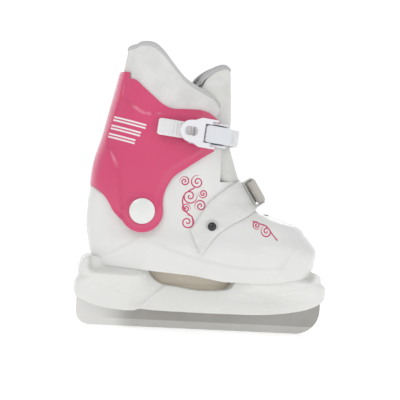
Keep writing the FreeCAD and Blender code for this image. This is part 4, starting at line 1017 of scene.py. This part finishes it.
# ---------------------------------------------------------------- soft pieces
def turn_at_x(form: Form, z: float, x: float, inset: float = 0.0) -> float:
    """Turn of the plan at which a form reaches x at a height."""
    low, high = 0.0, math.pi
    for _ in range(30):
        middle = (low + high) / 2
        if form.point(z, middle, inset).x > x:
            low = middle
        else:
            high = middle
    return (low + high) / 2


@dataclass
class LinerCollar:
    """The padded collar of the liner, open at the front, with its bound edge."""

    wall: float = 6.0
    opening: float = 2.2
    stations: int = 110
    cloth: Knit = field(default_factory=lambda: Knit(srgb(226, 225, 222)))
    tape: Woven = field(default_factory=lambda: Woven(srgb(206, 204, 203), (6.0, 240.0)))

    def rim(self, x: float) -> float:
        """Height of the rim at x."""
        return through(LINER_RIM_X, LINER_RIM_Z, x)

    def turns(self) -> list[float]:
        """The stations' turns, round the back from one side of the opening to the other."""
        start = turn_at_x(LINER, 226, self.opening)
        return steps(start, 2 * math.pi - start, self.stations)

    def bottom(self, x: float) -> float:
        """Height of the collar's lower edge at x, clear of the foot's share of the liner."""
        ray_z = PIVOT[1] + (x - PIVOT[0]) * math.tan(math.radians(54.5))
        return min(max(142.0, ray_z), self.rim(x) - 7.0)

    def section(self, turn: float, ends: float) -> list[Vector]:
        """Loop of the collar's wall at one turn; ends is 0 at the opening and 1 away from it."""
        x = LINER.point(235, turn).x
        top, low = self.rim(x) - 1.5, self.bottom(x)
        loop = []
        puff = 1.7 * ends
        for k in range(15):
            share = k / 14
            z = low + (top - low) * share
            swell = puff * math.sin(math.pi * share) ** 0.7 * ease(205, 232, z)
            loop.append(LINER.point(z, turn, 0.5 - swell))
        for k in range(1, 6):
            lean = math.pi * k / 6
            mid = self.wall / 2
            loop.append(LINER.point(top, turn, mid - (mid - 0.3) * math.cos(lean))
                        + Vector((0, 0, 2.6 * math.sin(lean))))
        for k in range(15):
            share = 1 - k / 14
            z = low + (top - low) * share
            swell = puff * math.sin(math.pi * share) ** 0.7 * ease(190, 225, z)
            loop.append(LINER.point(z, turn, self.wall - 0.4 + swell))
        return loop

    def build(self) -> None:
        """Makes the collar and its edge tape."""
        turns = self.turns()
        count = len(turns)
        rings = [self.section(turn, ease(-1, 9, min(k, count - 1 - k))) for k, turn in enumerate(turns)]
        collar = to_object("liner_collar", skin(rings), 60)
        subdivide(collar)
        place_on(collar, "cuff", ["liner_cuff"], self.cloth.material("liner_knit"))
        bands = []
        for turn in turns:
            x = LINER.point(235, turn).x
            top = self.rim(x)
            middle = self.wall / 2
            loop = []
            for k in range(16):
                lean = -0.5 * math.pi + 2 * math.pi * k / 16
                across, up = math.cos(lean), math.sin(lean)
                loop.append(LINER.point(top - 2.2, turn, middle - (middle + 0.7) * across)
                            + Vector((0, 0, 3.4 * up if up > 0 else 2.8 * up)))
            bands.append(loop)
        tape = to_object("liner_edge_tape", skin(bands), 60)
        lay_map(tape, 16, len(bands))
        subdivide(tape)
        place_on(tape, "cuff", ["liner_binding"], self.tape.material("edge_tape"))


@dataclass
class LinerSock:
    """The liner's share inside the shell."""

    gap: float = 3.4
    wall: float = 5.0

    def build(self) -> None:
        """Makes the sock: outer form hollowed, cut to its outline and slotted for the tongue."""
        sock = to_object("liner_sock", tube(FOOT, steps(48, 186, 46), 110, lambda at: self.gap + (
            max(0.0, 0.3 + abs(at.y) - CUFF.width(at.x, at.z, 3.3)) if at.z > 112 else 0.0)))
        carve(sock, tube(FOOT, steps(64, 190, 42), 100, lambda at: self.gap + self.wall
                         + 0.8 * math.sin(at.z * 0.16)))
        carve(sock, prism(foot_outline(8.0, (2.0, 137.0), 35.0)), Carving.KEEP)
        carve(sock, block([(x, y, 108) for x, y in ((2, -SLOT_HALF), (58, -SLOT_HALF), (58, SLOT_HALF),
                                                    (2, SLOT_HALF))], SLOT_WAY))
        soften(sock, 50)
        place_on(sock, "boot", ["liner_foot"], Knit(srgb(222, 221, 218)).material("sock_knit"))


@dataclass
class Tongue:
    """The padded vinyl tongue, one piece that bends at the ankle, with a bound top."""

    thick: float = 6.4
    across: int = 26
    rows: int = 64
    low: float = 117.5
    skin_finish: Vinyl = field(default_factory=lambda: Vinyl(srgb(222, 221, 217)))
    tape: Woven = field(default_factory=lambda: Woven(srgb(198, 197, 196), (6.0, 110.0)))

    def spread(self, z: float) -> float:
        """Half of the tongue's plan turn at a height."""
        return through((112, 141, 150, 200, 238, 262), (0.46, 0.50, 0.84, 0.93, 1.12, 1.2), z)

    def rim(self, x: float) -> float:
        """Height of the tongue's top at x."""
        return through(TONGUE_RIM_X, TONGUE_RIM_Z, x)

    def pressed(self, z: float) -> float:
        """How far the straps press the tongue in at a height."""
        ladder = math.exp(-((z - 193) / 9.5) ** 2)
        return 0.9 * ladder + 1.4 * ease(150, 138, z)

    def build(self) -> None:
        """Makes the tongue and its edge tape."""
        rings, bands = [], []
        count = self.across
        for row in range(self.rows + 1):
            share = row / self.rows
            ring = []
            for side, columns in ((0, range(count + 1)), (1, range(count, -1, -1))):
                for column in columns:
                    s = -1 + 2 * column / count
                    z0 = self.low + (262 - self.low) * share
                    guide = TONGUE.point(z0, s * self.spread(z0))
                    z = self.low + (self.rim(guide.x) - 1.5 - self.low) * share
                    turn = s * self.spread(z)
                    crown = (1 - abs(s) ** 6) ** 0.5
                    close = ease(0.0, 0.02, share) * ease(1.0, 0.985, share) * 0.7 + 0.3
                    middle = self.thick / 2 + self.pressed(z)
                    puff = 0.8 * math.cos(s * 1.4) * ease(0.0, 0.1, share) * ease(1, 0.92, share)
                    half = (self.thick / 2 * (0.35 + 0.65 * crown) + puff * 0.5) * close
                    ring.append(TONGUE.point(z, turn, middle + (half if side else -half)))
            rings.append(ring)
        tongue = to_object("tongue_pad", skin(rings), 60)
        subdivide(tongue)
        place_on(tongue, "", ["tongue_lower", "tongue_upper"],
                 self.skin_finish.material("tongue_vinyl"))
        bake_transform(tongue)
        for column in range(73):
            s = -1 + 2 * column / 72
            turn = s * 1.16
            x = TONGUE.point(256, turn).x
            top = self.rim(x)
            loop = []
            for k in range(14):
                lean = 2 * math.pi * k / 14
                loop.append(TONGUE.point(top - 2.4, turn, self.thick / 2 - (self.thick / 2 + 0.5) * math.cos(lean))
                            + Vector((0, 0, 3.0 * math.sin(lean))))
            bands.append(loop)
        tape = to_object("tongue_edge_tape", skin(bands), 60)
        lay_map(tape, 14, len(bands))
        subdivide(tape)
        place_on(tape, "cuff", ["tongue_binding"], self.tape.material("tongue_tape"))


class Instep:
    """Places on the arch of the instep: along (down the slope), turn (from the ridge to a side), and height."""

    def __init__(self) -> None:
        """Makes the surface that the straps lie on."""
        surface = tube(FOOT, steps(50, 178, 64), 140, lambda at: 0.0)
        self.tree = BVHTree.FromBMesh(surface)
        surface.free()
        self.down = Vector((math.cos(RIDGE_SLOPE), 0, -math.sin(RIDGE_SLOPE)))
        self.out = Vector((math.sin(RIDGE_SLOPE), 0, math.cos(RIDGE_SLOPE)))
        self.ridge = Vector((RIDGE[0], 0, RIDGE[1]))
        self.depth = 40.0

    def lying(self, along: float, turn: float, lift: float) -> Vector:
        """Point above the foot's surface; a positive turn is the outer side."""
        heading = self.out * math.cos(turn) + Vector((0, -1, 0)) * math.sin(turn)
        centre = self.ridge + self.down * along - self.out * self.depth
        spot, normal, _, _ = self.tree.ray_cast(centre + heading * 90, -heading)
        if spot is None:
            return centre + heading * self.depth
        if normal.dot(heading) < 0:
            normal = -normal
        return spot + normal * lift

    def flat(self, along: float, y: float, height: float) -> Vector:
        """Point in the instep's own frame."""
        return self.ridge + self.down * along + self.out * height + Vector((0, y, 0))


@dataclass
class InstepStraps:
    """The riveted vinyl strap, and the webbing that runs through its ring."""

    thick: float = 2.4
    tape_thick: float = 1.6
    tape_half: float = 12.0
    ring_y: float = -6.0
    ring_rise: float = 10.2
    vinyl: Vinyl = field(default_factory=lambda: Vinyl(srgb(226, 226, 223), 700.0, 0.38))
    weave: Woven = field(default_factory=lambda: Woven(srgb(206, 201, 192), (17.0, 52.0)))

    def loop(self, middle: Callable[[float, float], Vector], thick: float) -> list[Vector]:
        """Cross-section of a flat strap with soft edges.

        Args:
            middle: point at a place across (-1 to 1) and a height from 0 to thick.
            thick: the strap's thickness.

        Returns:
            The loop's points, 28 of them.
        """
        made = []
        for k in range(14):
            v = -1 + 2 * k / 13
            edge = 0.5 + 0.5 * (1 - abs(v) ** 9) ** 0.5
            made.append(middle(v, thick * edge))
        for k in range(13, -1, -1):
            v = -1 + 2 * k / 13
            edge = 0.5 - 0.5 * (1 - abs(v) ** 9) ** 0.5
            made.append(middle(v, thick * edge))
        return made

    def build(self, instep: Instep) -> None:
        """Makes the strap, the webbing and the webbing's tail."""
        knots = [math.radians(a) for a in (-4, 55, 90, 108, 127)]
        front = (16.0, 14.5, 12.5, 14.5, 22.0)
        rear = (-18.0, -19.5, -17.5, -12.0, -3.5)
        rings = []
        for turn in steps(knots[0], knots[-1], 60):
            a, b = through(knots, front, turn), through(knots, rear, turn)
            rings.append(self.loop(lambda v, h, a=a, b=b, t=turn: instep.lying((a + b) / 2 + (a - b) / 2 * v, t,
                                                                               0.35 + h), self.thick))
        strap = to_object("instep_strap_vinyl", skin(rings), 50)
        place_on(strap, "boot", ["instep_strap"], self.vinyl.material("strap_vinyl"))
        self.webbing(instep)

    def ribbon(self, instep: Instep, path: Sequence[SidePoint], half: float) -> list[list[Vector]]:
        """Stations of the tape along a path of (y, height), its thickness to the right of the way it goes."""
        rings = []
        for index, (y, height) in enumerate(path):
            (ay, az), (by, bz) = path[max(0, index - 1)], path[min(len(path) - 1, index + 1)]
            length = math.hypot(by - ay, bz - az)
            ny, nz = (bz - az) / length, -(by - ay) / length
            rings.append(self.loop(lambda v, h, y=y, z=height, ny=ny, nz=nz: instep.flat(
                half * v, y + ny * h, z + nz * h), self.tape_thick))
        return rings

    def webbing(self, instep: Instep) -> None:
        """Makes the webbing from its rivet to the ring, and its tail from the ring back over it."""
        rings = []
        turns = [math.radians(angle) for angle in (-123, -90, -44)]
        for turn in steps(turns[0], turns[-1], 34):
            shift = through(turns, (7.0, -2.0, 0.0), turn)
            rings.append(self.loop(lambda v, h, t=turn, s=shift: instep.lying(s + self.tape_half * v, t, 0.35 + h),
                                   self.tape_thick))
        under = self.ring_rise - 1.5 - self.tape_thick
        path = smooth_path([(27.0, -7.0), (17.0, 1.0), (8.0, under - 0.6), (0.0, under), (-5.0, 5.4), (-9.0, 3.7)], 5)
        rings += self.ribbon(instep, path, self.tape_half)[1:]
        band = to_object("instep_webbing_woven", skin(rings), 50)
        lay_map(band, 28, len(rings))
        finish = self.weave.material("webbing_beige")
        place_on(band, "boot", ["instep_webbing"], finish)
        top = self.ring_rise + 3.0
        path = smooth_path([(-9.0, 3.7), (-12.0, 5.4), (-12.8, 8.6), (-10.6, 11.8), (self.ring_y, top),
                            (1.0, top + 0.2), (8.4, top - 0.2), (16.0, 8.0), (22.0, 2.2), (27.0, -3.0)], 6)
        rings = self.ribbon(instep, path, self.tape_half - 0.2)
        tail = to_object("webbing_tail_woven", skin(rings), 50)
        lay_map(tail, 28, len(rings))
        place_on(tail, "webbing_tail", ["strap_tail"], finish)


@dataclass
class Ladder:
    """The ribbed ladder strap, laid along the path of the frame's own strap."""

    half: float = 8.0
    thick: float = 2.2
    rib_pitch: float = 3.4
    rib_height: float = 0.6
    plain_end: float = 15.0
    across: int = 13
    finish: Moulded = field(default_factory=lambda: Moulded(srgb(228, 228, 228), 0.34, 0.15, 0.02, 0.04))

    def path(self) -> list[Vector]:
        """Points 0.5 mm apart on the strap's outer face, from its tail round the front to the rivet."""
        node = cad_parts["ladder_strap"]
        bm = bmesh.new()
        bm.from_mesh(node.data)
        bmesh.ops.transform(bm, matrix=Matrix.Scale(1000.0, 4) @ node.matrix_world, verts=bm.verts)
        tree = BVHTree.FromBMesh(bm)
        bm.free()
        ahead = Vector((math.cos(STRAP_TILT), 0, -math.sin(STRAP_TILT)))
        centre = Vector((0, 0, STRAP_Z)) - ahead * 30.0
        found = []
        for degrees in range(-280, 221):
            turn = math.radians(degrees / 2)
            heading = ahead * math.cos(turn) + Vector((0, math.sin(turn), 0))
            spot = tree.ray_cast(centre + heading * 90, -heading, 60.0)[0]
            if spot is not None:
                found.append(spot)
        count = len(found)
        calm = [sum((found[min(count - 1, max(0, k + d))] for d in range(-3, 4)), Vector()) / 7 for k in range(count)]
        reach = [0.0]
        for a, b in zip(calm, calm[1:]):
            reach.append(reach[-1] + (b - a).length)
        return [Vector([through(reach, [spot[axis] for spot in calm], at) for axis in range(3)])
                for at in steps(0.0, reach[-1], int(reach[-1] * 2))]

    def build(self) -> None:
        """Makes the strap with its cross ribs."""
        path = self.path()
        up = Vector((math.sin(STRAP_TILT), 0, math.cos(STRAP_TILT)))
        last = len(path) - 1
        rings = []
        for index, spot in enumerate(path):
            along = index * 0.5
            tangent = (path[min(last, index + 1)] - path[max(0, index - 1)]).normalized()
            out = tangent.cross(up).normalized()
            rib = ease(-0.35, 0.35, math.sin(2 * math.pi * along / self.rib_pitch)) * self.rib_height
            rib *= ease(0.0, 2.0, last * 0.5 - self.plain_end - along) * ease(1.5, 3.0, along)
            half = self.half * (0.86 + 0.14 * ease(0, 3.0, along))
            spread = [-1 + 2 * k / (self.across - 1) for k in range(self.across)]
            face = [spot + up * (half * v) + out * (rib * ease(0.94, 0.84, abs(v)) - 0.3 * abs(v) ** 12)
                    for v in spread]
            back = [spot + up * (half * v) - out * (self.thick - 0.3 * abs(v) ** 12) for v in reversed(spread)]
            rings.append(face + back)
        strap = to_object("ladder_ribbed", skin(rings), 28)
        place_on(strap, "cuff", ["ladder_strap"], self.finish.material("ladder_white"))


# ---------------------------------------------------------------- pieces kept from the frame
KEPT: dict[str, tuple[str, ...]] = {
    "runner": ("blade_runner",),
    "plated": ("blade_bolts", "barrel_nuts", "sole_screws", "pivot_pins", "pivot_washers", "buckle_rivets",
               "lever_pin", "release_pin"),
    "ring": ("strap_ring",),
    "spring": ("release_spring",),
    "cap": ("pivot_caps", "ladder_rivet"),
    "buckle": ("buckle_base", "buckle_lever"),
    "button": ("release_button",),
    "ring_grey": ("strap_washers", "ladder_washer"),
    "black": ("strap_rivets",),
    "insole": ("footbed",),
    "pile": ("loop_patch", "hook_patch"),
}


def dress_frame() -> None:
    """Gives every frame node that stays its own finish."""
    finishes = {
        # the runner's bright heel end is a painted reflection
        "runner": Steel(srgb(160, 157, 152), srgb(222, 221, 218), 0.3, (0.04, 1.0, 1.0), 7.0),
        "plated": Steel(srgb(176, 175, 172)),
        "ring": Steel(srgb(205, 203, 199), metallic=0.2),
        "spring": Steel(srgb(96, 95, 94), srgb(140, 138, 136), 0.35),
        "cap": Moulded(srgb(230, 231, 228), 0.16, 0.45, 0.008, 0.03),
        "buckle": Moulded(srgb(230, 230, 233), 0.24, 0.3, 0.012, 0.03),
        "button": Moulded(srgb(219, 221, 225), 0.28, 0.25, 0.012, 0.03),
        "ring_grey": Moulded(srgb(196, 196, 194), 0.34, 0.1),
        "black": Moulded(srgb(32, 32, 35), 0.22, 0.3),
        "insole": Pile(srgb(170, 160, 148)),
        "pile": Pile(srgb(208, 203, 194)),
    }
    for finish, nodes in KEPT.items():
        material = finishes[finish].material(finish)
        for node in nodes:
            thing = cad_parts[node]
            thing.data.materials.clear()
            thing.data.materials.append(material)


# ---------------------------------------------------------------- studio
@dataclass
class Studio:
    """Plain pale floor and wall, soft lights and the camera."""

    azimuth: float = -8.0
    elevation: float = 1.5
    roll: float = 3.67
    distance: float = 1.3
    field_mm: float = 400.0
    aim: tuple[float, float, float] = (-8.3, 0.0, 129.3)

    def camera(self) -> None:
        """Makes the camera."""
        data = bpy.data.cameras.new("camera")
        data.sensor_width = 36.0
        data.lens = 36.0 * self.distance * 1000 / self.field_mm
        data.clip_start, data.clip_end = 0.01, 60.0
        thing = bpy.data.objects.new("camera", data)
        bpy.context.scene.collection.objects.link(thing)
        a, e = math.radians(self.azimuth), math.radians(self.elevation)
        heading = Vector((math.sin(a) * math.cos(e), -math.cos(a) * math.cos(e), math.sin(e)))
        spot = Vector(self.aim) * MM + heading * self.distance
        turn = heading.to_track_quat("Z", "Y").to_matrix().to_4x4()
        thing.matrix_world = Matrix.Translation(spot) @ turn @ Matrix.Rotation(math.radians(self.roll), 4, "Z")
        bpy.context.scene.camera = thing

    def lamp(self, name: str, place: Sequence[float], size: float, watts: float) -> None:
        """Adds a soft area light that faces the skate."""
        data = bpy.data.lights.new(name, "AREA")
        data.energy, data.size = watts, size
        thing = bpy.data.objects.new(name, data)
        thing.location = place
        thing.rotation_euler = (Vector(place) - Vector((0, 0, 0.12))).to_track_quat("Z", "Y").to_euler()
        bpy.context.scene.collection.objects.link(thing)

    def build(self) -> None:
        """Makes the floor, the wall of light and the lamps."""
        bend = [(3000 + 1200 * math.sin(t), 1200 - 1200 * math.cos(t)) for t in steps(0, math.pi / 2, 16)]
        profile = [(-6000.0, 0.0), *bend, (4200.0, 6000.0)]
        rings = [[Vector((x, y, z - 0.4)) for x in (-7000.0, 0.0, 7000.0)] for y, z in profile]
        floor = to_object("floor", skin(rings, caps=False, column_closed=False))
        paint = Paint("floor_pale")
        tint = paint.mix(paint.noise(3.0), (0.88, 0.88, 0.88, 1), (0.90, 0.90, 0.90, 1))
        floor.data.materials.append(paint.finish(Base_Color=tint, Roughness=0.7, Emission_Color=(1, 1, 1, 1),
                                                 Emission_Strength=0.36))
        world = bpy.data.worlds.new("studio")
        world.use_nodes = True
        sky = world.node_tree.nodes["Background"]
        sky.inputs[0].default_value = (0.93, 0.94, 0.96, 1)
        sky.inputs[1].default_value = 0.66
        bpy.context.scene.world = world
        self.lamp("key", (-0.9, -1.5, 1.5), 1.1, 9.2)
        self.lamp("fill", (1.3, -1.2, 0.7), 1.2, 3.4)
        self.lamp("back", (0.4, 1.6, 1.4), 1.2, 5)
        self.camera()


def main() -> None:
    """Builds the skate's looks in order."""
    logging.basicConfig(level=logging.INFO, format="%(name)s %(message)s")
    dress_frame()
    Holder().build()
    HardShell().build()
    HingedCuff().build()
    LinerSock().build()
    LinerCollar().build()
    Tongue().build()
    InstepStraps().build(Instep())
    Ladder().build()
    Studio().build()
    bpy.context.scene.view_settings.view_transform = "Standard"


if __name__ == "__main__":
    main()
